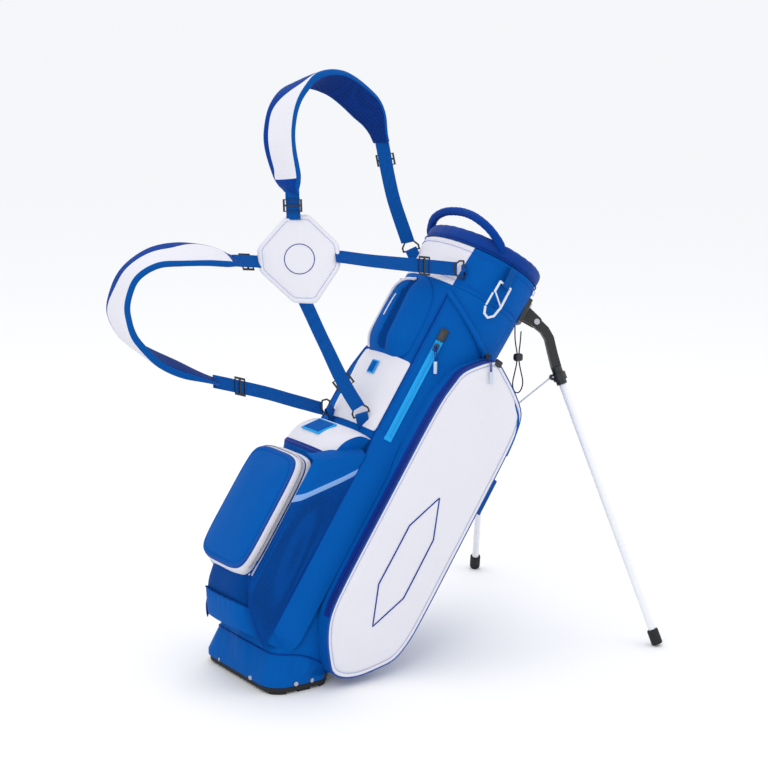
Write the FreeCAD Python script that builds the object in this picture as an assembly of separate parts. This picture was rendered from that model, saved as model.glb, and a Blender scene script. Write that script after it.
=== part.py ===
"""Golf stand bag: a leaning tube with pockets, a double shoulder harness and two fold-out legs.

Most of the bag is drawn in its own frame: z runs up the bag's axis, x points to the leg side,
y to the far side. The last step leans it forward over its base. The harness and the base are
drawn in the standing frame: z up, the floor at z = 0, the origin in the middle of the base.
"""
import FreeCAD
import Part
import math
import os
from FreeCAD import Placement, Rotation, Vector

os.makedirs("parts", exist_ok=True)

# ---- driving dimensions, millimetres and degrees ----
LEAN = 33.4                      # the bag's lean over its base when the legs are out
FOOT_OF_AXIS = (5.5, 0.0, 20.0)  # where the bag's axis meets the base, standing frame
TUBE_RX, TUBE_RY = 105.0, 120.0  # half widths of the oval tube
TUBE_WALL = 3.0
TUBE_BOTTOM, TUBE_TOP = 30.0, 738.0
CUFF_TOP = 818.0
CUFF_TOP_RX, CUFF_TOP_RY = 102.0, 127.0
RIM_TOP = 846.0
RIM_THICK = 17.0
GAP = 0.3                        # air kept between separate curved pieces

POCKET_OUT = 150.0               # outer face of the side pockets, from the bag's middle plane
POCKET_REAR, POCKET_FRONT = -48.0, 145.0
POCKET_INNER = 114.0

PIVOT = (124.6, 70.0, 774.0)     # leg pivot on the far side; the near one mirrors it
LEG_SPLAY = 25.34                # the leg's swing plane turns out this much from straight ahead
LEG_TUBE_R = 6.8
LEG_TUBE_LENGTH = 536.75
PIN_R = 3.0
RUNNING = 0.05                   # radial clearance of a turning fit

ROD_X, ROD_R = 117.0, 3.5
HINGE_X, HINGE_Z = 23.0, 27.1    # base hinge, bag frame
BASE_X = (-70.0, 65.0)           # base length, standing frame
BASE_Y = 122.0
BASE_TOP = 22.0

WEB_WIDTH, WEB_THICK = 25.0, 2.0
PAD_WIDTH, PAD_THICK = 60.0, 12.0

X, Y, Z = Vector(1, 0, 0), Vector(0, 1, 0), Vector(0, 0, 1)
LEANED = Placement(Vector(*FOOT_OF_AXIS), Rotation(Y, LEAN))


def save(name, *solids):
    """Write one node from solids in the standing frame."""
    shape = solids[0] if len(solids) == 1 else Part.makeCompound(list(solids))
    shape.exportStep(f"parts/{name}.step")


def lean(shape):
    """A copy of a bag-frame shape, leaned over the base."""
    out = shape.copy()
    out.transformShape(LEANED.toMatrix())
    return out


def save_bag(name, *solids):
    save(name, *[lean(s) for s in solids])


def mirrored(shape):
    """The same shape on the other side of the bag's middle plane."""
    return shape.mirror(Vector(0, 0, 0), Y)


def both(shape):
    return [shape, mirrored(shape)]


def one(shape):
    """The single solid of a boolean result."""
    return shape.Solids[0] if len(shape.Solids) == 1 else max(shape.Solids, key=lambda s: s.Volume)


def ellipse_wire(rx, ry, z):
    major, minor, rotation = (rx, ry, 0) if rx >= ry else (ry, rx, 90)
    edge = Part.Ellipse(Vector(0, 0, 0), major, minor).toShape()
    edge.Placement = Placement(Vector(0, 0, z), Rotation(Z, rotation))
    return Part.Wire([edge])


def oval(rx, ry, z0, z1, top_rx=None, top_ry=None):
    """A solid oval column, straight or tapering to the top radii."""
    wires = [ellipse_wire(rx, ry, z0), ellipse_wire(top_rx or rx, top_ry or ry, z1)]
    return Part.makeLoft(wires, True, True)


def box(x0, x1, y0, y1, z0, z1):
    return Part.makeBox(x1 - x0, y1 - y0, z1 - z0, Vector(x0, y0, z0))


def rounded_box(x0, x1, y0, y1, z0, z1, radius):
    solid = box(x0, x1, y0, y1, z0, z1)
    return solid.makeFillet(radius, solid.Edges)


def cylinder(radius, start, end):
    axis = Vector(*end) - Vector(*start)
    return Part.makeCylinder(radius, axis.Length, Vector(*start), axis)


def polygon(points):
    return Part.makePolygon([Vector(*p) for p in points] + [Vector(*points[0])])


def slab(points, height, direction):
    """A closed outline pushed along a direction."""
    return Part.Face(polygon(points)).extrude(Vector(*direction) * height)


def ribbon(stations, width, thick):
    """A band through stations of (middle point, direction across the band)."""
    middles = [Vector(*s[0]) for s in stations]
    sections = []
    for i, (_, across) in enumerate(stations):
        along = middles[min(i + 1, len(middles) - 1)] - middles[max(i - 1, 0)]
        along.normalize()
        side = Vector(*across)
        side = (side - along * side.dot(along)).normalize() * (width / 2)
        out = along.cross(side).normalize() * (thick / 2)
        corners = [middles[i] + side + out, middles[i] + side - out,
                   middles[i] - side - out, middles[i] - side + out]
        sections.append(Part.makePolygon(corners + corners[:1]))
    return Part.makeLoft(sections, True, True)


def rounded_path(points):
    """Straight runs joined by the largest tangent arcs; returns the wire and the arcs' radii."""
    pts = [Vector(*p) for p in points]
    edges, radii, start = [], [], pts[0]
    for before, corner, after in zip(pts, pts[1:], pts[2:]):
        into, out = (corner - before), (after - corner)
        run = min(into.Length, out.Length)
        into.normalize()
        out.normalize()
        turn = into.getAngle(out)
        reach = 0.45 * run
        radii.append(reach / math.tan(turn / 2))
        enter, leave = corner - into * reach, corner + out * reach
        inward = (out - into).normalize()
        centre = corner + inward * (radii[-1] / math.cos(turn / 2))
        middle = centre - inward * radii[-1]
        edges.append(Part.LineSegment(start, enter).toShape())
        edges.append(Part.Arc(enter, middle, leave).toShape())
        start = leave
    edges.append(Part.LineSegment(start, pts[-1]).toShape())
    return Part.Wire(edges), radii


def cord(name, points, radius):
    """A round cord along its route; prints its length, its bends and its volume check."""
    path, radii = rounded_path(points)
    tangent = (Vector(*points[1]) - Vector(*points[0])).normalize()
    ring = Part.Wire([Part.Circle(Vector(*points[0]), tangent, radius).toShape()])
    solid = path.makePipeShell([ring], True, False)
    share = solid.Volume / (math.pi * radius ** 2 * path.Length)
    bends = [round(r, 1) for r in radii]
    print(f"{name}: {path.Length:.1f} mm long, bends {bends}, volume ratio {share:.4f}")
    return solid


# ---- tube, bottom, cuff and rim, bag frame ----
tube_outer = oval(TUBE_RX, TUBE_RY, TUBE_BOTTOM, TUBE_TOP)
tube_inner = oval(TUBE_RX - TUBE_WALL, TUBE_RY - TUBE_WALL, TUBE_BOTTOM - 1, TUBE_TOP + 1)
FLOOR_RUN = math.tan(math.radians(LEAN))     # rise of the cut that lies level when the bag leans
CUT_START, CUT_END = 5.0, 140.0
# everything below the flat bottom and below the cut that clears the base on the leg side
under_cut = slab([(CUT_START, -200, TUBE_BOTTOM), (CUT_END, -200, TUBE_BOTTOM),
                  (CUT_END, -200, TUBE_BOTTOM + FLOOR_RUN * (CUT_END - CUT_START))], 400, (0, 1, 0))
save_bag("tube_shell", one(tube_outer.cut(tube_inner).cut(under_cut)))

BOTTOM_THICK = 8.0
plug = oval(TUBE_RX - TUBE_WALL - 0.1, TUBE_RY - TUBE_WALL - 0.1, TUBE_BOTTOM, 130)
keep_under = under_cut.fuse(box(-200, 200, -200, 200, TUBE_BOTTOM - 5, TUBE_BOTTOM))
lifted = keep_under.copy()
lifted.translate(Vector(0, 0, BOTTOM_THICK))
plug = one(plug.common(lifted).cut(keep_under))
LUG_Y = (18.0, 26.0)
HINGE_R = 4.0
LUG_R = 7.2
lug_profile = box(HINGE_X - LUG_R, HINGE_X + LUG_R, LUG_Y[0], LUG_Y[1], HINGE_Z, HINGE_Z + 18)
lug_eye = cylinder(LUG_R, (HINGE_X, LUG_Y[0], HINGE_Z), (HINGE_X, LUG_Y[1], HINGE_Z))
hinge_bore = cylinder(HINGE_R + RUNNING, (HINGE_X, -60, HINGE_Z), (HINGE_X, 60, HINGE_Z))
lug = lug_profile.fuse(lug_eye)
bottom = plug.fuse(both(lug)).cut(hinge_bore)
save_bag("bottom_moulding", one(bottom))

CUFF_WALL = 4.0
cuff = oval(TUBE_RX, TUBE_RY, TUBE_TOP + GAP, CUFF_TOP, CUFF_TOP_RX, CUFF_TOP_RY)
cuff_bore = oval(TUBE_RX - CUFF_WALL, TUBE_RY - CUFF_WALL, TUBE_TOP, CUFF_TOP + 1,
                 CUFF_TOP_RX - CUFF_WALL, CUFF_TOP_RY - CUFF_WALL)
save_bag("cuff_band", one(cuff.cut(cuff_bore)))

# the rim is a padded ring on top of the cuff
rim_outer = oval(CUFF_TOP_RX, CUFF_TOP_RY, CUFF_TOP + GAP, RIM_TOP)
rim_inner = oval(CUFF_TOP_RX - RIM_THICK, CUFF_TOP_RY - RIM_THICK, CUFF_TOP, RIM_TOP + 1)
rim = one(rim_outer.cut(rim_inner))
RIM_ROUND = 7.0
rim_edges = [e for e in rim.Edges if e.BoundBox.ZMin > RIM_TOP - 1]
save_bag("rim_pad", rim.makeFillet(RIM_ROUND, rim_edges))

# the divider: an oval liner ring with a cross, four wells for the clubs
DIVIDER_BOTTOM, DIVIDER_TOP = 776.0, 838.0
BAR = 10.0
LINER_RX, LINER_RY, LINER_WALL = 84.6, 109.6, 3.0
liner = oval(LINER_RX, LINER_RY, DIVIDER_BOTTOM, DIVIDER_TOP).cut(
    oval(LINER_RX - LINER_WALL, LINER_RY - LINER_WALL, DIVIDER_BOTTOM - 1, DIVIDER_TOP + 1))
inside = oval(LINER_RX - 1, LINER_RY - 1, DIVIDER_BOTTOM, DIVIDER_TOP)
cross_bar = box(-BAR / 2, BAR / 2, -130, 130, DIVIDER_BOTTOM, DIVIDER_TOP)
long_bar = box(-110, 110, -BAR / 2, BAR / 2, DIVIDER_BOTTOM, DIVIDER_TOP)
save_bag("club_divider", one(liner.fuse([cross_bar.common(inside), long_bar.common(inside)])))

# fabric walls that carry the four wells down to the bottom
WALL = 2.0
well_space = oval(TUBE_RX - TUBE_WALL - 5, TUBE_RY - TUBE_WALL - 1, TUBE_BOTTOM, DIVIDER_BOTTOM - GAP)
walls = box(-WALL / 2, WALL / 2, -130, 130, 108, 900).fuse(box(-110, 110, -WALL / 2, WALL / 2, 108, 900))
save_bag("divider_walls", one(walls.common(well_space)))

# ---- carry handle over the strap side of the rim ----
HANDLE = [(-47, -108, 826), (-62, -105, 842), (-82, -84, 858), (-92, -50, 871), (-92, -16, 877),
          (-92, 16, 877), (-92, 50, 871), (-82, 84, 858), (-62, 105, 842), (-47, 108, 826)]
handle_path, _ = rounded_path(HANDLE)
handle_start = Vector(*HANDLE[0])
handle_tangent = Vector(*HANDLE[1]) - Vector(*HANDLE[0])
HANDLE_R = 7.0
handle_ring = Part.Wire([Part.Circle(handle_start, handle_tangent.normalize(), HANDLE_R).toShape()])
handle = handle_path.makePipeShell([handle_ring], True, False)
save_bag("carry_handle", handle)


# ---- side pockets ----
def side_pocket():
    """The near side pocket, closed, from its outline seen from the side: (x, z)."""
    top, low = 657, 24
    outline = [(68, low + 14), (24, low), (0, 66 - 18), (-23, 75), (-43, 112), (POCKET_REAR, 165),
               (POCKET_REAR, 532), (-38, 583), (-33, 606), (20, top), (40, 650), (90, 628),
               (126, 607), (138, 588), (POCKET_FRONT, 543), (POCKET_FRONT, 169), (141, 134),
               (132, 100), (109, 76)]
    solid = slab([(x, -POCKET_OUT, z) for x, z in outline], POCKET_OUT - 60, (0, 1, 0))
    solid = solid.cut(oval(TUBE_RX + GAP, TUBE_RY + GAP, 0, 760))
    solid = solid.cut(box(20, 300, -POCKET_INNER, 0, 0, 760))
    return one(solid)


near_pocket = side_pocket()
save_bag("near_side_pocket", near_pocket)
save_bag("far_side_pocket", mirrored(near_pocket))


def tube_skin(y_sign, angle, width, thick, z0, z1, stand_off=GAP):
    """A strip lying on the tube at an angle round it, from the strap side."""
    phi = math.radians(angle)
    foot = Vector(-(TUBE_RX + stand_off) * math.cos(phi), y_sign * (TUBE_RY + stand_off) * math.sin(phi), 0)
    normal = Vector(-math.cos(phi) / TUBE_RX, y_sign * math.sin(phi) / TUBE_RY, 0).normalize()
    tangent = Z.cross(normal)
    bow = width ** 2 / (8 * TUBE_RX) + GAP
    corners = [foot + normal * bow + tangent * (width / 2), foot + normal * bow - tangent * (width / 2),
               foot + normal * (bow + thick) - tangent * (width / 2),
               foot + normal * (bow + thick) + tangent * (width / 2)]
    points = [(c.x, c.y, z0) for c in corners]
    return slab(points, z1 - z0, (0, 0, 1)), foot, normal, tangent


# the short zip above the near pocket, straight, with its slider at the top
SIDE_ZIP_ANGLE = 50.0
ZIP_Z = (440.0, 640.0)
side_zip, zip_foot, zip_normal = tube_skin(-1, SIDE_ZIP_ANGLE, 14, 1.6, *ZIP_Z)[:3]
save_bag("side_zip_tape", side_zip)


def slider_block(centre, normal, along, size=(9.0, 14.0, 5.0)):
    """A zip slider: a small rounded block with its bridge, on a face with this normal."""
    across, length, height = size
    block = rounded_box(-across / 2, across / 2, -length / 2, length / 2, 0, height, 1.5)
    bridge = rounded_box(-1.5, 1.5, -length / 2 + 2, length / 2 - 2, height - 1, height + 3.5, 1.0)
    solid = block.fuse(bridge)
    side = along.cross(normal)
    turn = FreeCAD.Matrix(side.x, along.x, normal.x, centre.x, side.y, along.y, normal.y, centre.y,
                          side.z, along.z, normal.z, centre.z, 0, 0, 0, 1)
    out = solid.copy()
    out.transformShape(turn)
    return one(out)


ZIP_LIFT = 14 ** 2 / (8 * TUBE_RX) + GAP + 1.6 + GAP
side_slider_at = zip_foot + zip_normal * ZIP_LIFT + Z * 622
side_peg_at = side_slider_at + zip_normal * 4
side_peg = cylinder(1.0, side_peg_at, side_peg_at + zip_normal * 10)
save_bag("side_zip_slider", one(slider_block(side_slider_at, zip_normal, Z).fuse(side_peg)))

# the main zip runs round the rear and top edge of the near pocket
TAPE = 1.5
TAPE_WIDE = 14
tape_outline = [(POCKET_REAR - GAP, 120), (POCKET_REAR - GAP - TAPE, 120),
                (POCKET_REAR - GAP - TAPE, 532), (-38 - GAP - TAPE, 584), (-33.5 - TAPE, 607.5),
                (19, 659.5), (20, 658)]
tape_outline += [(-32.5 - 1.2, 606.6), (-38.4, 583.2), (POCKET_REAR - GAP, 532)]
tape = slab([(x, -POCKET_OUT, z) for x, z in tape_outline], TAPE_WIDE, (0, 1, 0))
save_bag("main_zip_tape", tape)
MAIN_ZIP_DIRECTION = Vector(-53, 0, -51).normalize()
MAIN_ZIP_NORMAL = Vector(-51, 0, 53).normalize()
main_slider_at = Vector(9, -POCKET_OUT + 6, 648) + MAIN_ZIP_NORMAL * 3.5
main_slider = slider_block(main_slider_at, MAIN_ZIP_NORMAL, MAIN_ZIP_DIRECTION)
PEG_R, PEG_OUT = 1.0, 11.0
main_peg_at = main_slider_at + MAIN_ZIP_NORMAL * 3
main_peg = cylinder(PEG_R, main_peg_at, main_peg_at - Y * PEG_OUT)
save_bag("main_zip_slider", one(main_slider.fuse(main_peg)))

# ---- strap side: spine, hip pad and pockets ----
tube_clear = oval(TUBE_RX + GAP, TUBE_RY + GAP, 0, 760)


def on_tube(solid):
    return one(solid.cut(tube_clear))


spine = on_tube(oval(TUBE_RX + 5, TUBE_RY + 5, 446, 572).common(box(-200, 0, -58, 58, 400, 700)))
save_bag("spine_panel", spine)
HIP = (575.0, 736.0)
hip = on_tube(rounded_box(-143, -60, -58, 58, HIP[0], HIP[1], 22))
save_bag("hip_pad", hip)

ball_body = rounded_box(-186, -60, -96, 96, 104, 332, 20)
ball_lid = rounded_box(-212, -100, -70, 78, 108, 328, 22)
ball = on_tube(one(ball_body.fuse(ball_lid)))
save_bag("ball_pocket", ball)
VALUABLES = [(-50, 334), (-158, 334), (-166, 352), (-160, 384), (-122, 420), (-50, 428)]
valuables = slab([(x, -72, z) for x, z in VALUABLES], 144, (0, 1, 0))
valuables = on_tube(valuables.makeFillet(8, [e for e in valuables.Edges if e.BoundBox.XMin < -100]))
save_bag("valuables_pocket", valuables)
SLEEVE = [(-50, 32), (-128, 32), (-156, 48), (-182, 78), (-190, 103), (-50, 103)]
sleeve = slab([(x, -90, z) for x, z in SLEEVE], 180, (0, 1, 0))
low_edges = [e for e in sleeve.Edges if e.BoundBox.XMax < -120 and e.BoundBox.ZMax < 102]
sleeve = on_tube(sleeve.makeFillet(9, low_edges))
save_bag("sleeve_pocket", sleeve)
BOTTLE_PLAN = [(-52.5, -119), (-76, -109.5), (-99, -97.5), (-99, -60), (-52.5, -60)]
mesh = slab([(x, y, 60) for x, y in BOTTLE_PLAN], 312, (0, 0, 1))
mesh = one(on_tube(mesh).cut(box(-230, -40, -96.4, 97, 50, 332.4)).cut(box(-230, -40, -72.5, 97, 330, 470)))
save_bag("bottle_pocket", mesh)

# ---- leg gear, drawn in the near leg's plane: p = (out from the bag, along the hinge pin, up) ----
splay = math.radians(LEG_SPLAY)
OUT = Vector(math.cos(splay), -math.sin(splay), 0)
PIN = OUT.cross(Z)
LEG_FRAME = FreeCAD.Matrix(OUT.x, -PIN.x, 0, PIVOT[0], OUT.y, -PIN.y, 0, -PIVOT[1],
                           0, 0, 1, PIVOT[2], 0, 0, 0, 1)


def leg_side(shape):
    """From the leg's plane to the bag frame, near side."""
    out = shape.copy()
    out.transformShape(LEG_FRAME)
    return out


def save_legs(name, shape):
    """The near and far copies of a leg piece, one node each."""
    near = leg_side(shape)
    save_bag(f"{name}_near", near)
    save_bag(f"{name}_far", mirrored(near))


def flat_bar(points, radii, thick):
    """A bar of rounded outline through points (out, up), pushed along the pin by its thickness."""
    pieces = []
    for (w, a), r in zip(points, radii):
        pieces.append(cylinder(r, (w, -thick / 2, a), (w, thick / 2, a)))
    for (w0, a0), r0, (w1, a1), r1 in zip(points, radii, points[1:], radii[1:]):
        step = Vector(w1 - w0, 0, a1 - a0).normalize()
        side = Vector(-step.z, 0, step.x)
        p0, p1 = Vector(w0, -thick / 2, a0), Vector(w1, -thick / 2, a1)
        quad = [p0 + side * r0, p1 + side * r1, p1 - side * r1, p0 - side * r0]
        pieces.append(Part.Face(Part.makePolygon(quad + quad[:1])).extrude(Vector(0, thick, 0)))
    return one(pieces[0].multiFuse(pieces[1:]).removeSplitter())


LEG_LINE = Vector(0.7588, 0, -0.6513)          # the leg's direction when it is out
SOCKET_TOP = Vector(75, 0, -54)
TUBE_START = SOCKET_TOP + LEG_LINE * 7
SOCKET_END = SOCKET_TOP + LEG_LINE * 34
YOKE = [(0, 0), (23, -5), (38, -14), (56, -34), (75, -54)]
YOKE_R = [9.5, 8.5, 8.5, 8.5, 9.0]
YOKE_THICK = 11.0
socket = cylinder(10, SOCKET_TOP, SOCKET_END)
yoke = flat_bar(YOKE, YOKE_R, YOKE_THICK).fuse(socket)
yoke = yoke.cut(cylinder(PIN_R + RUNNING, (0, -20, 0), (0, 20, 0)))
yoke = one(yoke.cut(cylinder(LEG_TUBE_R + RUNNING, TUBE_START, SOCKET_END + LEG_LINE * 5)))
save_legs("leg_yoke", yoke)

TUBE_END = TUBE_START + LEG_LINE * LEG_TUBE_LENGTH
leg_tube = cylinder(LEG_TUBE_R, TUBE_START, TUBE_END).cut(
    cylinder(LEG_TUBE_R - 1, TUBE_START - LEG_LINE, TUBE_END + LEG_LINE))
save_legs("leg_tube", one(leg_tube))
FOOT_LENGTH, FOOT_OVERLAP = 30.0, 18.0
foot_start = TUBE_END - LEG_LINE * FOOT_OVERLAP
foot = cylinder(10.5, foot_start, foot_start + LEG_LINE * FOOT_LENGTH)
foot = foot.makeFillet(3, [e for e in foot.Edges if len(e.Vertexes) == 1])
foot = foot.cut(cylinder(LEG_TUBE_R + RUNNING, TUBE_END - LEG_LINE * 30, TUBE_END))
save_legs("leg_foot", one(foot))

LINK_EYE = Vector(77.8, 0, -74.3)
clamp_at = SOCKET_TOP + LEG_LINE * 12
clamp = cylinder(13, clamp_at, clamp_at + LEG_LINE * 14)
clamp_tab = flat_bar([(LINK_EYE.x, LINK_EYE.z), (88, -71)], [5.5, 6.5], 7)
clamp = clamp.fuse(clamp_tab).cut(cylinder(10.05, clamp_at - LEG_LINE * 20, clamp_at + LEG_LINE * 40))
LINK_R = 1.5
clamp = clamp.cut(cylinder(LINK_R + RUNNING, LINK_EYE - Y * 20, LINK_EYE + Y * 20))
save_legs("link_clamp", one(clamp))

# clevis ears on a saddle that is screwed to the cuff
EAR_GAP, EAR = 6.0, 3.5
ears = []
for side in (-1, 1):
    ear = flat_bar([(0, 0), (-34, 4)], [10.5, 15], EAR)
    ear.translate(Vector(0, side * (EAR_GAP + EAR / 2), 0))
    ears.append(leg_side(ear.cut(cylinder(PIN_R + RUNNING, (0, -30, 0), (0, 30, 0)))))
SADDLE = (752.0, 798.0)
saddle = oval(TUBE_RX + 7, TUBE_RY + 9, *SADDLE).cut(oval(TUBE_RX + 0.6, TUBE_RY + 3.5, 700, 830))
saddle = saddle.common(box(30, 200, -98, 98, 700, 830))
bracket = saddle.fuse(ears + [mirrored(e) for e in ears])
bracket = one(bracket.cut(oval(TUBE_RX + 0.6, TUBE_RY + 3.5, 700, 830)))
save_bag("leg_bracket", bracket)

pin = cylinder(PIN_R, (0, -EAR_GAP - EAR - 2.2, 0), (0, EAR_GAP + EAR + 2.2, 0))
HEAD_IN, HEAD_OUT = EAR_GAP + EAR + 0.2, EAR_GAP + EAR + 2.4
heads = [cylinder(5.5, (0, s * HEAD_IN, 0), (0, s * HEAD_OUT, 0)) for s in (-1, 1)]
pin = leg_side(one(pin.multiFuse(heads)))
save_bag("leg_pivot_pins", *both(pin))

# ---- link wires: from the clamp's eye to the slot in the push rod's head ----
LINK_IN_PLANE = 295.0
rod_out = (Vector(ROD_X, 0, 0) - Vector(PIVOT[0], -PIVOT[1], 0)).dot(OUT)
drop = math.sqrt(LINK_IN_PLANE ** 2 - (LINK_EYE.x - rod_out) ** 2)
HEAD_Z = PIVOT[2] + LINK_EYE.z - drop        # height of the link's lower end on the bag's axis
eye_world = leg_side(Part.Vertex(LINK_EYE)).Point
pin_direction = Vector(-PIN.x, -PIN.y, 0)
towards = -1 if pin_direction.y < 0 else 1
hook_end = eye_world + pin_direction * (-5.0 * towards)
hook_start = eye_world + pin_direction * (7.0 * towards)
HOOK_Y = -8.0
low_end = Vector(ROD_X, HOOK_Y, HEAD_Z)
link = Part.makeCylinder(LINK_R, 12, hook_end, hook_start - hook_end)
link = link.fuse([Part.makeSphere(LINK_R, hook_start), cylinder(LINK_R, hook_start, low_end),
                  Part.makeSphere(LINK_R, low_end),
                  cylinder(LINK_R, low_end, (ROD_X, -0.6, HEAD_Z))])
link = one(link)
save_bag("link_wire_near", link)
save_bag("link_wire_far", mirrored(link))

# ---- push rod, its guides and the lower pin ----
ROD_LOW = 72.0
HEAD_THICK = 3.0
head = box(ROD_X - 10, ROD_X + 10, -HEAD_THICK / 2, HEAD_THICK / 2, HEAD_Z - 26, HEAD_Z + 12)
slot = box(ROD_X - 6, ROD_X + 6, -5, 5, HEAD_Z - 19, HEAD_Z + 6)
rod = cylinder(ROD_R, (ROD_X, 0, ROD_LOW), (ROD_X, 0, HEAD_Z - 22))
rod = rod.fuse([head.cut(slot), cylinder(2.5, (ROD_X, -10, ROD_LOW), (ROD_X, 10, ROD_LOW)),
                Part.makeSphere(ROD_R, Vector(ROD_X, 0, ROD_LOW))])
save_bag("push_rod", one(rod))
guides = []
for z in (170, 300):
    guide = rounded_box(90, ROD_X + 7, -9, 9, z, z + 14, 2).cut(tube_clear)
    guides.append(one(guide.cut(cylinder(ROD_R + RUNNING, (ROD_X, 0, z - 5), (ROD_X, 0, z + 20)))))
save_bag("rod_guides", *guides)

# ---- base: sole, hinged plate with its arm, hinge pin, skirt, screws; standing frame ----
hinge = LEANED.multVec(Vector(HINGE_X, 0, HINGE_Z))
BASE_CORNER = 40.0
SOLE_TOP = 14.0


def base_slab(z0, z1, inset=0.0):
    solid = box(BASE_X[0] + inset, BASE_X[1] - inset, -BASE_Y + inset, BASE_Y - inset, z0, z1)
    upright = [e for e in solid.Edges if abs(e.tangentAt(e.FirstParameter).z) > 0.9]
    return solid.makeFillet(BASE_CORNER - inset, upright)


sole = base_slab(5, SOLE_TOP, 2)
PAD_ROWS = (-48, 0, 45)
pads = [base_slab(0, 6, 4).common(box(x - 12, x + 12, -130, 130, 0, 6)) for x in PAD_ROWS]
save("base_sole", one(sole.multiFuse(pads)))

arm_point = LEANED.multVec(Vector(ROD_X, 0, ROD_LOW))
arm_line = (arm_point - hinge)
arm_reach = arm_line.Length
arm_line.normalize()
plate = base_slab(SOLE_TOP + 0.1, BASE_TOP)
plate_lug = box(hinge.x - 8, hinge.x + 8, 28, 35, BASE_TOP - 2, hinge.z).fuse(
    cylinder(8, (hinge.x, 28, hinge.z), (hinge.x, 35, hinge.z)))
arm_side = arm_line.cross(Y)
ARM_UP, ARM_DOWN = 10.5, 6.0
SLOT_UP, SLOT_DOWN = 6.9, 3.2
arms = []
for y in (4.2, -8.2):
    start, end = hinge + Vector(0, y, 0), hinge + arm_line * (arm_reach + 11) + Vector(0, y, 0)
    quad = [start + arm_side * ARM_UP, end + arm_side * ARM_UP,
            end - arm_side * ARM_DOWN, start - arm_side * ARM_DOWN]
    cheek = Part.Face(Part.makePolygon(quad + quad[:1])).extrude(Vector(0, 4, 0))
    arms.append(cheek.fuse(cylinder(8, start, start + Vector(0, 4, 0))))
slot_from, slot_to = hinge + arm_line * (arm_reach - 17), hinge + arm_line * (arm_reach + 7)
quad = [slot_from + arm_side * SLOT_UP, slot_to + arm_side * SLOT_UP,
        slot_to - arm_side * SLOT_DOWN, slot_from - arm_side * SLOT_DOWN]
arm_slot = Part.Face(Part.makePolygon(quad + quad[:1])).extrude(Vector(0, 30, 0))
arm_slot.translate(Vector(0, -15, 0))
foot_block = box(hinge.x - 8, hinge.x + 8, -8.2, 8.2, BASE_TOP - 2, hinge.z - 4)
plate = plate.multiFuse(both(plate_lug) + arms + [foot_block])
hinge_hole = cylinder(HINGE_R + RUNNING, (hinge.x, -60, hinge.z), (hinge.x, 60, hinge.z))
plate = plate.cut(arm_slot).cut(hinge_hole)
save("base_plate", one(plate))
save("base_hinge_pin", cylinder(HINGE_R, (hinge.x, -38, hinge.z), (hinge.x, 38, hinge.z)))

# the skirt closes the gap between tube and base, a thin sloping wall
SKIRT_WALL = 2.5
base_middle = (BASE_X[0] + BASE_X[1]) / 2
base_half = (BASE_X[1] - BASE_X[0]) / 2


def skirt_body(inset, spare):
    """The space inside the skirt, from the base plate up into the tube."""
    low = ellipse_wire(base_half - inset, BASE_Y - inset, BASE_TOP - spare)
    low.translate(Vector(base_middle, 0, 0))
    high = ellipse_wire(TUBE_RX - inset, TUBE_RY - inset, 62 + spare)
    high.Placement = LEANED.multiply(high.Placement)
    return Part.makeLoft([low, high], True, True)


below_tube = keep_under.fuse(box(-200, 200, -200, 200, -100, TUBE_BOTTOM - 4))
below_tube.translate(Vector(0, 0, -0.5))
skirt = skirt_body(0, 0).cut(skirt_body(SKIRT_WALL, 3)).common(lean(below_tube))
skirt = skirt.common(box(-200, 300, -200, 200, BASE_TOP + 0.4, 200))
save("skirt", one(skirt))

# screws through the skirt's hem into the edge of the base plate
SCREW_ANGLES = (205, 232, 256, 282)
screws = []
for angle in SCREW_ANGLES + tuple(360 - a for a in SCREW_ANGLES):
    phi = math.radians(angle)
    edge = Vector(base_middle + 76 * math.cos(phi), 131 * math.sin(phi), 18)
    inner = Vector(base_middle + 50 * math.cos(phi), 100 * math.sin(phi), 18)
    ray = Part.LineSegment(inner, edge).toShape()
    spots = ray.common(base_slab(SOLE_TOP + 0.1, BASE_TOP))
    rim_point = max((v.Point for v in spots.Vertexes), key=lambda p: (p - inner).Length)
    outward = (edge - inner).normalize()
    screws.append(cylinder(4, rim_point + outward * 0.1, rim_point + outward * 2.6))
save("base_screws", *screws)

# ---- cuff rivets ----
rivets = []
for x, z, rx, ry in ((62, 806, CUFF_TOP_RX + 3, CUFF_TOP_RY + 3), (79, 788, TUBE_RX + 7.2, TUBE_RY + 9.2)):
    y = -ry * math.sqrt(1 - (x / rx) ** 2)
    normal = Vector(x / rx ** 2, y / ry ** 2, 0).normalize()
    rivets.append(cylinder(4.5, Vector(x, y, z), Vector(x, y, z) + normal * 2.5))
rivets += [mirrored(r) for r in rivets]
save_bag("cuff_rivets", *rivets)

# ---- leg strap: a folded tab on the near pocket's leg-side edge ----
strap_tab = box(POCKET_FRONT + GAP, POCKET_FRONT + 24, -137, -127, 402, 476)
strap_tab = strap_tab.makeFillet(3, strap_tab.Edges)
save_bag("leg_strap", strap_tab)


# ---- D-rings and their tabs, standing frame ----
def wire_ring(centre, wide, deep, radius, up):
    """A D-shaped wire ring in the plane of its width (up) and its depth."""
    c, across, out = centre, up, wide
    corner = [c + across * 15, c + across * 15 + out * (deep * 0.45), c + across * 8 + out * deep,
              c - across * 8 + out * deep, c - across * 15 + out * (deep * 0.45), c - across * 15]
    pieces = [cylinder(radius, a, b) for a, b in zip(corner, corner[1:] + corner[:1])]
    pieces += [Part.makeSphere(radius, p) for p in corner]
    return one(pieces[0].multiFuse(pieces[1:]))


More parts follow.
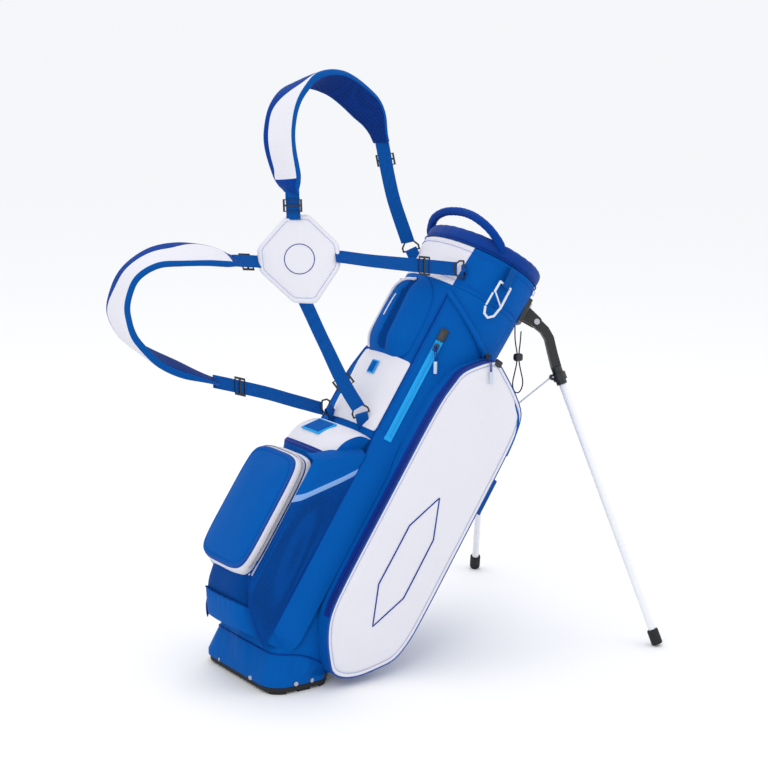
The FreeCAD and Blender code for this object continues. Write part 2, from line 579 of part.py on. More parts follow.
# each ring: the middle of its straight bar, the way its loop reaches, the way its bar runs
RINGS = {
    "upper_far": ((348, 67, 728), (-0.35, 0.1, 0.93), (-0.75, 0.61, -0.26)),
    "upper_near": ((357, -82, 712), (-0.75, 0.35, 0.3), (0.12, 0.20, 0.97)),
    "lower_far": ((157, 50, 455), (-0.93, -0.08, 0.3), (0.47, 0.49, 0.74)),
    "lower_near": ((160, -52, 463), (-0.55, 0.2, 0.8), (-0.83, 0.39, -0.41)),
}
RING_WIRE = 1.6
RING_DEEP = 17.0
rings = []
for place, reach, bar in RINGS.values():
    bar_way = Vector(*bar).normalize()
    reach_way = Vector(*reach)
    reach_way = (reach_way - bar_way * reach_way.dot(bar_way)).normalize()
    rings.append(wire_ring(Vector(*place), reach_way, RING_DEEP, RING_WIRE, bar_way))
save("d_rings", *rings)

# ---- harness: hub, two padded shoulder straps, webbing and buckles, standing frame ----
# the hub is an eight-sided pad whose face looks back, down the strap side
HUB_CENTRE = Vector(61, 0, 741)
HUB_NORMAL = Vector(-0.506, -0.830, 0.2335).normalize()
HUB_RIGHT = Z.cross(HUB_NORMAL).normalize()
HUB_UP = HUB_NORMAL.cross(HUB_RIGHT)
HUB_OUTLINE = [(-24, 75), (16, 78), (68, 28), (71, -12), (29, -76), (-10, -75), (-69, -21), (-73, 19)]
HUB_THICK = 12.0
hub_low = HUB_CENTRE - HUB_NORMAL * (HUB_THICK / 2)
hub_points = [hub_low + HUB_RIGHT * r + HUB_UP * u for r, u in HUB_OUTLINE]
hub = Part.Face(Part.makePolygon(hub_points + hub_points[:1])).extrude(HUB_NORMAL * HUB_THICK)
save("hub_pad", hub)

# stations of a band: middle point, direction across the band
UPPER_PAD = [
    ((54, 15, 857), (0.05, 0.98, -0.18)), ((45, 17, 888), (-0.29, 0.95, -0.05)),
    ((34, 20, 933), (-0.46, 0.89, -0.01)), ((35, 24, 966), (-0.46, 0.89, -0.04)),
    ((48, 30, 1003), (-0.37, 0.93, -0.03)), ((75, 38, 1030), (-0.18, 0.98, -0.09)),
    ((115, 46, 1046), (0.04, 0.93, -0.37)), ((168, 54, 1039), (0.05, 0.73, -0.68)),
    ((217, 60, 1011), (-0.18, 0.63, -0.75)), ((254, 64, 977), (-0.23, 0.62, -0.75)),
    ((277, 67, 930), (-0.15, 0.80, -0.55))]
LOWER_PAD = [
    ((-44, 37, 742), (0.44, 0.89, 0.13)), ((-103, 34, 756), (0.43, 0.86, 0.28)),
    ((-161, 30, 762), (0.41, 0.82, 0.39)), ((-211, 28, 758), (0.25, 0.92, 0.31)),
    ((-251, 28, 737), (0.04, 0.99, 0.12)), ((-269, 30, 705), (-0.08, 0.99, -0.08)),
    ((-272, 33, 669), (-0.07, 0.97, -0.24)), ((-251, 37, 626), (0.27, 0.91, -0.33)),
    ((-207, 41, 590), (0.54, 0.84, -0.10)), ((-152, 45, 561), (0.59, 0.81, 0.02)),
    ((-79, 48, 531), (0.59, 0.81, -0.04))]
save("shoulder_pad_upper", ribbon(UPPER_PAD, PAD_WIDTH, PAD_THICK))
save("shoulder_pad_lower", ribbon(LOWER_PAD, PAD_WIDTH, PAD_THICK))

# webbing: each run ends short of the next piece by a hair
STRAPS = {
    "hub_arm_right": [((123, -39, 746), (0.49, 0.54, 0.68)), ((198, -48, 733), (0.38, 0.48, 0.79)),
                      ((283, -62, 721), (0.24, 0.26, 0.94)), ((341, -75, 713), (0.15, 0.25, 0.96))],
    "hub_arm_bottom": [((66, -15, 664), (-0.58, 0.78, -0.23)), ((98, -27, 591), (-0.52, 0.77, -0.38)),
                       ((127, -42, 523), (-0.72, 0.57, -0.39)), ((150, -50, 482), (-0.83, 0.39, -0.41))],
    "hub_arm_top": [((57, 14, 819), (-0.70, 0.71, -0.06)), ((55, 14, 850), (-0.69, 0.72, -0.06))],
    "hub_arm_left": [((-8, 36, 738), (0.30, 0.62, 0.72)), ((-37, 37, 741), (0.32, 0.66, 0.67))],
    "upper_strap": [((281, 67.5, 921), (-0.60, 0.67, -0.43)), ((304, 68, 833), (-0.58, 0.72, -0.37)),
                    ((338, 67, 748), (-0.75, 0.61, -0.26))],
    "lower_strap": [((-71, 48, 528), (0.54, 0.48, 0.69)), ((11, 48, 503), (0.53, 0.46, 0.71)),
                    ((95, 49, 473), (0.52, 0.44, 0.73)), ((140, 50, 457), (0.47, 0.49, 0.74))],
}
save("hub_webbing", *[ribbon(STRAPS[n], WEB_WIDTH, WEB_THICK) for n in STRAPS if n.startswith("hub")])
save("strap_webbing", *[ribbon(STRAPS[n], WEB_WIDTH, WEB_THICK) for n in STRAPS if n.endswith("strap")])


def buckle(centre, along, across):
    """A flat three-bar slide: a frame with a middle bar, its webbing running along."""
    u = Vector(*along).normalize()
    v = Vector(*across)
    v = (v - u * v.dot(u)).normalize()
    n = u.cross(v)
    half_long, half_wide, bar, height = 11.0, 17.0, 3.2, 2.2
    frame = box(-half_long, half_long, -half_wide, half_wide, 0, height)
    for side in (-1, 1):
        middle = side * half_long / 2
        frame = frame.cut(box(middle - half_long / 2 + bar / 2, middle + half_long / 2 - bar / 2,
                              -half_wide + bar, half_wide - bar, -1, height + 1))
    turn = FreeCAD.Matrix(u.x, v.x, n.x, centre[0], u.y, v.y, n.y, centre[1],
                          u.z, v.z, n.z, centre[2], 0, 0, 0, 1)
    frame = frame.copy()
    frame.translate(Vector(0, 0, WEB_THICK / 2 + GAP))
    frame.transformShape(turn)
    return one(frame)


BUCKLES = [((56, 14, 834), (-0.05, 0.0, 1.0), (-0.70, 0.71, -0.06)),
           ((-23, 36.5, 739.5), (-0.99, 0.03, 0.1), (0.31, 0.64, 0.70)),
           ((283, -62, 721), (0.98, -0.13, -0.14), (0.24, 0.26, 0.94)),
           ((127, -42, 523), (0.53, -0.27, -0.80), (-0.72, 0.57, -0.39)),
           ((287, 67.6, 897), (0.25, 0.01, -0.96), (-0.60, 0.68, -0.42)),
           ((-32, 48, 516), (0.95, 0.0, -0.30), (0.54, 0.48, 0.69))]
save("strap_buckles", *[buckle(*b) for b in BUCKLES])

# ring tabs: short webbing from each D-ring's straight bar down to the bag
TAB_WIDTH, TAB_THICK = 22.0, 2.4
TAB_DROP = 22.0
tube_zone = lean(oval(TUBE_RX + 0.5, TUBE_RY + 0.5, 0, TUBE_TOP + 1)).fuse(
    lean(oval(TUBE_RX + 0.5, TUBE_RY + 0.5, TUBE_TOP, CUFF_TOP, CUFF_TOP_RX + 0.5, CUFF_TOP_RY + 0.5)))
tab_zones = tube_zone.fuse([lean(spine), lean(hip)])
tabs = []
for ring, (place, reach, bar) in zip(rings, RINGS.values()):
    start = Vector(*place)
    from_axis = LEANED.inverse().multVec(start)
    end = LEANED.multVec(Vector(from_axis.x * 0.72, from_axis.y * 0.8, from_axis.z - TAB_DROP))
    step = (end - start).normalize()
    band = ribbon([(tuple(start - step * 4), bar), (tuple(end), bar)], TAB_WIDTH, TAB_THICK)
    ring_room = cylinder(RING_WIRE + GAP, start - Vector(*bar) * 30, start + Vector(*bar) * 30)
    band = band.cut(tab_zones).cut(ring_room).cut(ring)
    tabs.append(one(band))
save("ring_tabs", *tabs)

# ---- carabiner on a webbing loop, near side of the cuff, bag frame ----
CARABINER_Y = -131.0
CARABINER_R = 2.2
CARABINER = [(-40, 760), (-39, 780.5), (-11, 780.5), (-11, 742),
             (-16, 722), (-27, 713), (-38, 716), (-43, 727)]


def wire(points, radius):
    pts = [Vector(x, CARABINER_Y, z) for x, z in points]
    pieces = [cylinder(radius, a, b) for a, b in zip(pts, pts[1:])]
    pieces += [Part.makeSphere(radius, p) for p in pts]
    return one(pieces[0].multiFuse(pieces[1:]))


save_bag("carabiner_body", wire(CARABINER, CARABINER_R).fuse(wire([(-40, 761), (-12, 743)], 1.5)))
save_bag("carabiner_gate", wire([(-42.4, 755), (-43.4, 732)], 1.8))
LOOP_BAR_Z = 780.5
LOOP_X = (-33.0, -17.0)
loop_profile = [(-126.5, 812), (-128.0, 776.3), (-134.0, 776.3), (-132.0, 812), (-133.6, 812),
                (-135.6, 774.7), (-126.4, 774.7), (-124.9, 812)]
loop = slab([(LOOP_X[0], y, z) for y, z in loop_profile], LOOP_X[1] - LOOP_X[0], (1, 0, 0))
cuff_zone = oval(TUBE_RX + GAP, TUBE_RY + GAP, TUBE_TOP, CUFF_TOP, CUFF_TOP_RX + GAP, CUFF_TOP_RY + GAP)
bar_room = wire([(-60, LOOP_BAR_Z), (0, LOOP_BAR_Z)], CARABINER_R + GAP)
save_bag("carabiner_loop", one(loop.cut(cuff_zone).cut(bar_room)))

# ---- cords, standing frame ----
CORD_R = 1.2
TIE_CORD = [(452.5, -114, 606), (453, -113.5, 588), (459, -109, 570), (467.5, -104, 552),
            (468.5, -103, 534), (463.5, -103, 514), (459, -103, 497), (460.8, -103, 485),
            (467, -103, 476.5), (476, -103, 476.5), (482.2, -103, 485), (484, -103, 497),
            (479.5, -102, 514), (474.5, -101, 534), (475, -100, 552), (481, -95, 566),
            (485.5, -90.5, 577), (486.5, -90, 588)]
save("tie_cord", cord("tie_cord", TIE_CORD, CORD_R))
TOGGLE_HOLES = [((467.5, -104, 556), (468.6, -103, 530)), ((475.1, -100, 556), (474.3, -101, 530))]
toggle = rounded_box(463, 480, -108, -96, 536, 550, 4)
for start, end in TOGGLE_HOLES:
    toggle = toggle.cut(cylinder(CORD_R + 1.0, start, end))
save("cord_toggle", one(toggle))

PULL_CORD_R = 0.9
PULL_DROP = 26.0                 # from the slider's bridge down to the grip
GRIP_R, GRIP_LENGTH, GRIP_ROUND = 3.2, 22.0, 1.2
LOOP_ENDS, LOOP_UPPER, LOOP_WIDEST, LOOP_TOP = 1.3, 1.6, 3.2, 1.7


def zip_pull(name, bridge, low):
    """A cord loop round the slider's bridge that ends in a tube grip below it."""
    b, e = Vector(*bridge), Vector(*low)
    down = e - b
    left = [e + X * -LOOP_ENDS,
            e - down * 0.35 + X * -LOOP_UPPER,
            e - down * 0.7 + X * -2.2,
            b + Vector(-LOOP_WIDEST, 0, -1.8),
            b + Vector(-LOOP_TOP, 0, 2.3)]
    right = [b + Vector(LOOP_TOP, 0, 2.3),
             b + Vector(LOOP_WIDEST, 0, -1.8),
             e - down * 0.7 + X * 2.2,
             e - down * 0.35 + X * LOOP_UPPER,
             e + X * LOOP_ENDS]
    save(f"{name}_cord", cord(name, [tuple(p) for p in left + right], PULL_CORD_R))
    way_down = Vector(down).normalize()
    grip = Part.makeCylinder(GRIP_R, GRIP_LENGTH, e + way_down * 0.05, way_down)
    grip = grip.makeFillet(GRIP_ROUND, [g for g in grip.Edges if len(g.Vertexes) == 1])
    save(f"{name}_grip", grip)


side_bridge = LEANED.multVec(side_peg_at + zip_normal * 7)
main_bridge = LEANED.multVec(main_peg_at - Y * (PEG_OUT - 2.5))
zip_pull("side_zip_pull", side_bridge, side_bridge + Vector(-3, -4, -PULL_DROP))
zip_pull("main_zip_pull", main_bridge, main_bridge + Vector(-1, -3, -PULL_DROP))

# plain numbers that the record repeats, in metres and in the standing frame
metres = 0.001
print("hinge", [round(v * metres, 5) for v in hinge])
for s in (-1, 1):
    pivot = LEANED.multVec(Vector(PIVOT[0], s * PIVOT[1], PIVOT[2]))
    print("leg pivot", [round(v * metres, 5) for v in pivot])
print("leg pins", [list((LEANED.Rotation.multVec(Vector(0.428, s * 0.904, 0)))) for s in (1, -1)])
print("link eyes", [round(v * metres, 5) for v in LEANED.multVec(eye_world)])
print("bag up", list(LEANED.Rotation.multVec(Z)), "bag front", list(LEANED.Rotation.multVec(X)))
print("main zip way", list(LEANED.Rotation.multVec(MAIN_ZIP_DIRECTION)))
print("carabiner bar", [round(v * metres, 5) for v in LEANED.multVec(Vector(-25, CARABINER_Y, LOOP_BAR_Z))])
print("gate hinge", [round(v * metres, 5) for v in LEANED.multVec(Vector(-42.4, CARABINER_Y, 755))])
print("head", HEAD_Z, "rod out", rod_out)
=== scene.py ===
"""Looks of a golf stand bag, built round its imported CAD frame. Metres unless a name says mm."""

import math

import bmesh
import bpy
from mathutils import Matrix, Vector


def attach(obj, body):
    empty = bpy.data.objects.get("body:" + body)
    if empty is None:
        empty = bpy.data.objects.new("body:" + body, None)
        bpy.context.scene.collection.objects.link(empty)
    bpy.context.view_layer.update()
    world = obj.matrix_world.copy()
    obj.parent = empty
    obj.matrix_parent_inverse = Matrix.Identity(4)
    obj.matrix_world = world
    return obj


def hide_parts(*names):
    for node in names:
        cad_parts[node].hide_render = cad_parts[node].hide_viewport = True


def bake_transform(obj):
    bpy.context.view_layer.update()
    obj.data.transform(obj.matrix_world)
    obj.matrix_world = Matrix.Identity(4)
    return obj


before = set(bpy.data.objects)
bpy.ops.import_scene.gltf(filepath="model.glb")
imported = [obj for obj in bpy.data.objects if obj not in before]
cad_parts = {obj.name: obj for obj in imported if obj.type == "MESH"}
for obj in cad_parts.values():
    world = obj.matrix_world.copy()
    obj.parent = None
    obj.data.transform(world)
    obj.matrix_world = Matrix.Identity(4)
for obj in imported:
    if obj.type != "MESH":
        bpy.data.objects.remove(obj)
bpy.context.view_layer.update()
MM = 0.001
LEAN = math.radians(33.4)
AXIS_FOOT = (5.5, 20.0)
scene = bpy.context.scene


def bag(x, y, z):
    """A point of the bag's own frame (mm; z up its axis, x to the legs) in the row frame."""
    return Vector((AXIS_FOOT[0] + x * math.cos(LEAN) + z * math.sin(LEAN), y,
                   AXIS_FOOT[1] - x * math.sin(LEAN) + z * math.cos(LEAN))) * MM


def bag_way(x, y, z):
    """A direction of the bag's own frame, in the row frame."""
    return bag(x, y, z) * 1000 - bag(0, 0, 0) * 1000


def mm(x, y, z):
    return Vector((x, y, z)) * MM


# ---- camera, at the photograph's angle ----
CAMERA_AZIMUTH, CAMERA_ELEVATION, CAMERA_ROLL = -34.913, 12.231, 0.815
CAMERA_AIM = Vector((-0.30965, -0.79291, 0.70894))
CAMERA_DISTANCE = 2.5135
az, el = math.radians(CAMERA_AZIMUTH), math.radians(CAMERA_ELEVATION)
back = Vector((math.sin(az) * math.cos(el), -math.cos(az) * math.cos(el), math.sin(el)))
camera_data = bpy.data.cameras.new("camera")
camera_data.lens = 90.475
camera_data.sensor_width = 36
camera = bpy.data.objects.new("camera", camera_data)
scene.collection.objects.link(camera)
camera.rotation_mode = "QUATERNION"
camera.location = CAMERA_AIM + back * CAMERA_DISTANCE
level = (-back).to_track_quat("-Z", "Y")
camera.rotation_quaternion = level @ Matrix.Rotation(math.radians(CAMERA_ROLL), 3, "Z").to_quaternion()
scene.camera = camera


# ---- materials ----
def new_material(name, color, rough, metallic=0.0, sheen=0.0, coat=0.0, specular=0.5):
    m = bpy.data.materials.new(name)
    m.use_nodes = True
    shader = m.node_tree.nodes["Principled BSDF"]
    shader.inputs["Base Color"].default_value = (*color, 1)
    shader.inputs["Roughness"].default_value = rough
    shader.inputs["Metallic"].default_value = metallic
    shader.inputs["Sheen Weight"].default_value = sheen
    shader.inputs["Coat Weight"].default_value = coat
    shader.inputs["Specular IOR Level"].default_value = specular
    return m, m.node_tree, shader


def hexa(text):
    """An sRGB hex colour as linear numbers."""
    parts = [int(text[i:i + 2], 16) / 255 for i in (0, 2, 4)]
    return tuple(p / 12.92 if p <= 0.04045 else ((p + 0.055) / 1.055) ** 2.4 for p in parts)


def node(tree, kind, **values):
    n = tree.nodes.new(kind)
    for key, value in values.items():
        if key.startswith("in_"):
            n.inputs[key[3:].replace("_", " ")].default_value = value
        else:
            setattr(n, key, value)
    return n


def bag_coordinates(tree):
    """Object coordinates turned so that z runs up the bag."""
    coords = node(tree, "ShaderNodeTexCoord")
    turn = node(tree, "ShaderNodeMapping", in_Rotation=(0, -LEAN, 0))
    tree.links.new(coords.outputs["Object"], turn.inputs["Vector"])
    return turn.outputs["Vector"]


def maths(tree, operation, a, b=None, clamp=False):
    n = tree.nodes.new("ShaderNodeMath")
    n.operation = operation
    n.use_clamp = clamp
    for i, value in enumerate((a, b)):
        if value is None:
            continue
        if isinstance(value, (int, float)):
            n.inputs[i].default_value = value
        else:
            tree.links.new(value, n.inputs[i])
    return n.outputs[0]


def two_tone(tree, shader, first, second, where):
    """Base colour that goes from the first to the second as where goes from 0 to 1."""
    mix = node(tree, "ShaderNodeMix", data_type="RGBA")
    tree.links.new(where, mix.inputs[0])
    mix.inputs[6].default_value = (*first, 1)
    mix.inputs[7].default_value = (*second, 1)
    tree.links.new(mix.outputs[2], shader.inputs["Base Color"])


def tint(tree, shader, color, amount, where):
    """Base colour that drifts darker and lighter by amount, driven by where (0 to 1)."""
    darker = [c * (1 - amount) for c in color]
    lighter = [min(1, c * (1 + amount)) for c in color]
    two_tone(tree, shader, darker, lighter, where)


def roughen(tree, shader, pattern, amount, low):
    """Roughness that rises from low by up to amount where the pattern is high."""
    varied = maths(tree, "ADD", maths(tree, "MULTIPLY", pattern, amount), low)
    tree.links.new(varied, shader.inputs["Roughness"])


def waves(tree, vector, direction, wavelength):
    w = node(tree, "ShaderNodeTexWave", wave_type="BANDS", bands_direction=direction,
             in_Scale=2 * math.pi / (20 * wavelength))
    tree.links.new(vector, w.inputs["Vector"])
    return w.outputs["Fac"]


def noise(tree, vector, scale, detail=3.0, rough=0.5):
    n = node(tree, "ShaderNodeTexNoise", in_Scale=scale, in_Detail=detail, in_Roughness=rough)
    tree.links.new(vector, n.inputs["Vector"])
    return n.outputs["Fac"]


def bump(tree, shader, height, distance, strength=1.0):
    b = node(tree, "ShaderNodeBump", in_Distance=distance, in_Strength=strength)
    tree.links.new(height, b.inputs["Height"])
    tree.links.new(b.outputs["Normal"], shader.inputs["Normal"])


def woven(name, color, thread=0.0011, rough=0.62, sheen=0.01, depth=0.00022, drift=0.10):
    """A plain polyester weave: threads three ways, slubs and slow shade changes."""
    m, tree, shader = new_material(name, color, rough, sheen=sheen, specular=0.04)
    at = bag_coordinates(tree)
    threads = maths(tree, "ADD", waves(tree, at, "X", thread), waves(tree, at, "Y", thread))
    threads = maths(tree, "ADD", threads, waves(tree, at, "Z", thread))
    slub = noise(tree, at, 900, 2)
    shade = maths(tree, "MULTIPLY", noise(tree, at, 9, 3), 0.55)
    shade = maths(tree, "ADD", shade, maths(tree, "MULTIPLY", slub, 0.25))
    shade = maths(tree, "ADD", shade, maths(tree, "MULTIPLY", threads, 0.07), clamp=True)
    tint(tree, shader, color, drift, shade)
    soft = maths(tree, "MULTIPLY", noise(tree, at, 45, 4), 3.0)
    height = maths(tree, "ADD", maths(tree, "MULTIPLY", threads, 0.6), maths(tree, "ADD", slub, soft))
    bump(tree, shader, height, depth, 0.7)
    roughen(tree, shader, slub, 0.2, rough - 0.1)
    return m


def spacer_mesh(name, color, hole=0.0032):
    """Open mesh cloth: rows of small dark holes in a knitted face."""
    m, tree, shader = new_material(name, color, 0.7, sheen=0.01, specular=0.05)
    at = bag_coordinates(tree)
    cells = node(tree, "ShaderNodeTexVoronoi", feature="F1", in_Scale=1 / hole, in_Randomness=0.12)
    tree.links.new(at, cells.inputs["Vector"])
    open_hole = maths(tree, "LESS_THAN", cells.outputs["Distance"], 0.33)
    two_tone(tree, shader, color, [c * 0.35 for c in color], open_hole)
    uneven = maths(tree, "MULTIPLY", noise(tree, at, 60, 3), 0.8)
    height = maths(tree, "ADD", cells.outputs["Distance"], uneven)
    bump(tree, shader, height, 0.0005, 0.8)
    return m


def pile(name, color):
    """Velour: short pile with brushed lighter and darker patches."""
    m, tree, shader = new_material(name, color, 0.9, sheen=0.12, specular=0.08)
    at = bag_coordinates(tree)
    brushed = noise(tree, at, 38, 5, 0.65)
    tint(tree, shader, color, 0.28, brushed)
    bump(tree, shader, maths(tree, "ADD", noise(tree, at, 1400, 2), brushed), 0.0006, 0.8)
    return m


def ribbed(name, color, rib=0.0016, rough=0.5):
    """Webbing: ribs along the band, cross threads and a satin face."""
    m, tree, shader = new_material(name, color, rough, sheen=0.01, specular=0.06)
    at = bag_coordinates(tree)
    ribs = maths(tree, "ADD", waves(tree, at, "Y", rib), waves(tree, at, "DIAGONAL", rib * 0.8))
    fine = noise(tree, at, 700, 2)
    tint(tree, shader, color, 0.16, maths(tree, "ADD", maths(tree, "MULTIPLY", ribs, 0.3),
                                          maths(tree, "MULTIPLY", fine, 0.4), clamp=True))
    bump(tree, shader, maths(tree, "ADD", ribs, fine), 0.0003, 0.8)
    return m


def moulded(name, color, rough=0.42, grain=320, depth=0.00012, coat=0.0):
    """Moulded plastic or rubber: fine grain, faint scuffs and paler worn edges."""
    m, tree, shader = new_material(name, color, rough, coat=coat)
    at = bag_coordinates(tree)
    grains = noise(tree, at, grain, 4)
    geometry = node(tree, "ShaderNodeNewGeometry")
    worn = node(tree, "ShaderNodeMapRange", in_From_Min=0.52, in_From_Max=0.62, in_To_Min=0.0, in_To_Max=0.35)
    tree.links.new(geometry.outputs["Pointiness"], worn.inputs["Value"])
    patches = maths(tree, "MULTIPLY", noise(tree, at, 14, 3), 0.55)
    tint(tree, shader, color, 0.22, maths(tree, "ADD", patches, worn.outputs[0], clamp=True))
    bump(tree, shader, grains, depth, 0.7)
    roughen(tree, shader, noise(tree, at, 90, 5, 0.7), 0.22, rough - 0.1)
    return m


def metal(name, color, rough=0.28, scratch=0.00004):
    """Bare metal with fine scratches and a slightly uneven shine."""
    m, tree, shader = new_material(name, color, rough, metallic=1.0)
    at = bag_coordinates(tree)
    streak = noise(tree, at, 260, 6, 0.75)
    tint(tree, shader, color, 0.12, noise(tree, at, 30, 4))
    bump(tree, shader, streak, scratch, 0.6)
    roughen(tree, shader, streak, 0.25, rough - 0.1)
    return m


def enamel(name, color, rough=0.25):
    """Paint on metal tube: glossy, with slight orange peel."""
    m, tree, shader = new_material(name, color, rough, coat=0.5)
    at = bag_coordinates(tree)
    tint(tree, shader, color, 0.05, noise(tree, at, 22, 3))
    bump(tree, shader, noise(tree, at, 240, 3), 0.00008, 0.5)
    roughen(tree, shader, noise(tree, at, 120, 4), 0.18, rough - 0.08)
    return m


BLUE = woven("blue_fabric", hexa("0056A8"))
NAVY = woven("dark_blue_fabric", hexa("003F88"))
ROYAL = woven("royal_fabric", hexa("033A8E"), rough=0.5)
PURPLE = woven("zip_band_fabric", hexa("12348C"), rough=0.5)
LIGHT_SIDE = woven("side_wall_fabric", hexa("02509E"), rough=0.5)
LIGHT = woven("light_blue_tape", hexa("22A2E8"), thread=0.0009, rough=0.45)
WHITE = woven("white_fabric", hexa("DFDEE6"), drift=0.035, depth=0.00016, sheen=0.02)
REFLECT = woven("reflective_band", hexa("7FA6DC"), drift=0.06, rough=0.35, sheen=0.0)
MESH = spacer_mesh("mesh_fabric", hexa("00428E"))
NAVY_MESH = spacer_mesh("navy_mesh", hexa("0A3078"), hole=0.0038)
VELOUR = pile("velour", hexa("0C3A8C"))
LINER = woven("dark_liner", hexa("16325E"), rough=0.75)
WEBBING = ribbed("webbing", hexa("024C98"))
PIPING = ribbed("piping", hexa("2A52A4"), rib=0.0009)
THREAD_BLUE = ribbed("blue_thread", hexa("1C5FD0"), rib=0.0005)
THREAD_PALE = ribbed("pale_thread", hexa("8FB4E8"), rib=0.0005)
BLACK = moulded("black_plastic", hexa("1C1D20"))
TAPE = woven("zip_tape", hexa("14307E"), thread=0.0008, rough=0.55)
COIL = moulded("zip_coil", hexa("16348C"), rough=0.3, grain=600)
LIGHT_COIL = moulded("light_zip_coil", hexa("2AA8EA"), rough=0.4, grain=600)
RUBBER = moulded("rubber", hexa("17181A"), rough=0.75, grain=180, depth=0.0003)
TUBE_WHITE = enamel("white_tube", hexa("E9EAEE"))
STEEL = metal("steel", hexa("B9BDC4"))
WHITE_METAL = enamel("white_metal", hexa("D5DAE4"), rough=0.3)
ZIP_METAL = metal("zip_metal", hexa("44474E"), rough=0.35)
GRIP = moulded("grip_plastic", hexa("C9D4E4"), rough=0.4)
CORD = ribbed("cord_sheath", hexa("23262C"), rib=0.0008, rough=0.65)
CORD_BLUE = ribbed("cord_blue", hexa("123E96"), rib=0.0008, rough=0.65)

CAD_FINISH = {
    BLACK: ["leg_bracket", "leg_yoke_near", "leg_yoke_far", "link_clamp_near", "link_clamp_far",
            "base_plate", "bottom_moulding", "strap_buckles", "cord_toggle", "d_rings", "rod_guides"],
    TUBE_WHITE: ["leg_tube_near", "leg_tube_far"],
    RUBBER: ["leg_foot_near", "leg_foot_far", "base_sole"],
    STEEL: ["link_wire_near", "link_wire_far", "push_rod", "leg_pivot_pins", "base_hinge_pin",
            "base_screws"],
    WHITE_METAL: ["carabiner_body", "carabiner_gate", "cuff_rivets"],
    ZIP_METAL: ["side_zip_slider", "main_zip_slider"],
    GRIP: ["side_zip_pull_grip", "main_zip_pull_grip"],
}
for finish, names in CAD_FINISH.items():
    for name in names:
        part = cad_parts[name]
        part.data.materials.clear()
        part.data.materials.append(finish)


# ---- mesh helpers ----
def build(name, verts, faces, mats, index=None, body="bag", slot=None, stands_for=(), sharp=48):
    """A mesh piece that rides on a body and may stand for CAD nodes."""
    mesh = bpy.data.meshes.new(name)
    mesh.from_pydata([tuple(v) for v in verts], [], faces)
    for m in (mats if isinstance(mats, (list, tuple)) else [mats]):
        mesh.materials.append(m)
    if index is not None:
        mesh.polygons.foreach_set("material_index", index)
    work = bmesh.new()
    work.from_mesh(mesh)
    bmesh.ops.recalc_face_normals(work, faces=work.faces)
    work.to_mesh(mesh)
    work.free()
    mesh.polygons.foreach_set("use_smooth", [True] * len(mesh.polygons))
    mesh.set_sharp_from_angle(angle=math.radians(sharp))
    obj = bpy.data.objects.new(name, mesh)
    scene.collection.objects.link(obj)
    if body:
        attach(obj, body)
    if stands_for:
        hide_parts(*stands_for)
    return obj


def loft(rows, closed=True, caps=(True, True), loop=False):
    """Vertices and faces of a skin through rows of points, with fans over the ends."""
    wide, verts, faces = len(rows[0]), [v for row in rows for v in row], []
    spans = len(rows) if loop else len(rows) - 1
    steps = wide if closed else wide - 1
    for i in range(spans):
        a, b = i * wide, ((i + 1) % len(rows)) * wide
        for j in range(steps):
            k = (j + 1) % wide
            faces.append((a + j, a + k, b + k, b + j))
    for end, wanted in ((0, caps[0]), (len(rows) - 1, caps[1])):
        if wanted and not loop:
            middle = sum(rows[end], Vector()) / wide
            verts.append(middle)
            hub = len(verts) - 1
            for j in range(steps):
                faces.append((end * wide + j, end * wide + (j + 1) % wide, hub))
    return verts, faces


def spline(points, count):
    """Evenly numbered points of a smooth curve through the given ones (any dimension)."""
    pts = [tuple(p) for p in points]
    pts = [tuple(2 * a - b for a, b in zip(pts[0], pts[1]))] + pts + [
        tuple(2 * a - b for a, b in zip(pts[-1], pts[-2]))]
    out, spans = [], len(pts) - 3
    for n in range(count):
        t = n / (count - 1) * spans
        i = min(int(t), spans - 1)
        t -= i
        p = pts[i:i + 4]
        out.append(tuple(0.5 * (2 * b + (c - a) * t + (2 * a - 5 * b + 4 * c - d) * t * t
                                + (3 * b - a - 3 * c + d) * t ** 3) for a, b, c, d in zip(*p)))
    return out


def smooth_ring(points, rounds=2):
    """A closed outline with its corners cut round."""
    for _ in range(rounds):
        cut = []
        for p, q in zip(points, points[1:] + points[:1]):
            cut.append(tuple(a * 0.75 + b * 0.25 for a, b in zip(p, q)))
            cut.append(tuple(a * 0.25 + b * 0.75 for a, b in zip(p, q)))
        points = cut
    return points


def even_ring(points, count):
    """A closed outline walked at even steps."""
    ring = points + points[:1]
    lengths = [math.dist(p, q) for p, q in zip(ring, ring[1:])]
    total, out, i, run = sum(lengths), [], 0, 0.0
    for n in range(count):
        want = total * n / count
        while run + lengths[i] < want:
            run += lengths[i]
            i += 1
        t = (want - run) / lengths[i]
        out.append(tuple(a + (b - a) * t for a, b in zip(ring[i], ring[i + 1])))
    return out


def frames(path):
    """Direction and two side ways at each point, carried along without twist."""
    out, side = [], None
    for i, p in enumerate(path):
        along = (path[min(i + 1, len(path) - 1)] - path[max(i - 1, 0)]).normalized()
        if side is None:
            side = along.orthogonal()
        side = (side - along * side.dot(along)).normalized()
        out.append((along, side, along.cross(side)))
    return out


def tube(path, radius, sides=8, closed=False, ends=True):
    """Vertices and faces of a round tube along a path; the radius may be a list."""
    rows = []
    for i, (p, (_, u, v)) in enumerate(zip(path, frames(path))):
        r = radius[i] if isinstance(radius, list) else radius
        rows.append([p + (u * math.cos(a) + v * math.sin(a)) * r
                     for a in (2 * math.pi * k / sides for k in range(sides))])
    return loft(rows, True, (ends and not closed, ends and not closed), closed)


def merge(parts):
    """Several (vertices, faces) as one."""
    verts, faces = [], []
    for v, f in parts:
        base = len(verts)
        verts += v
        faces += [tuple(i + base for i in face) for face in f]
    return verts, faces


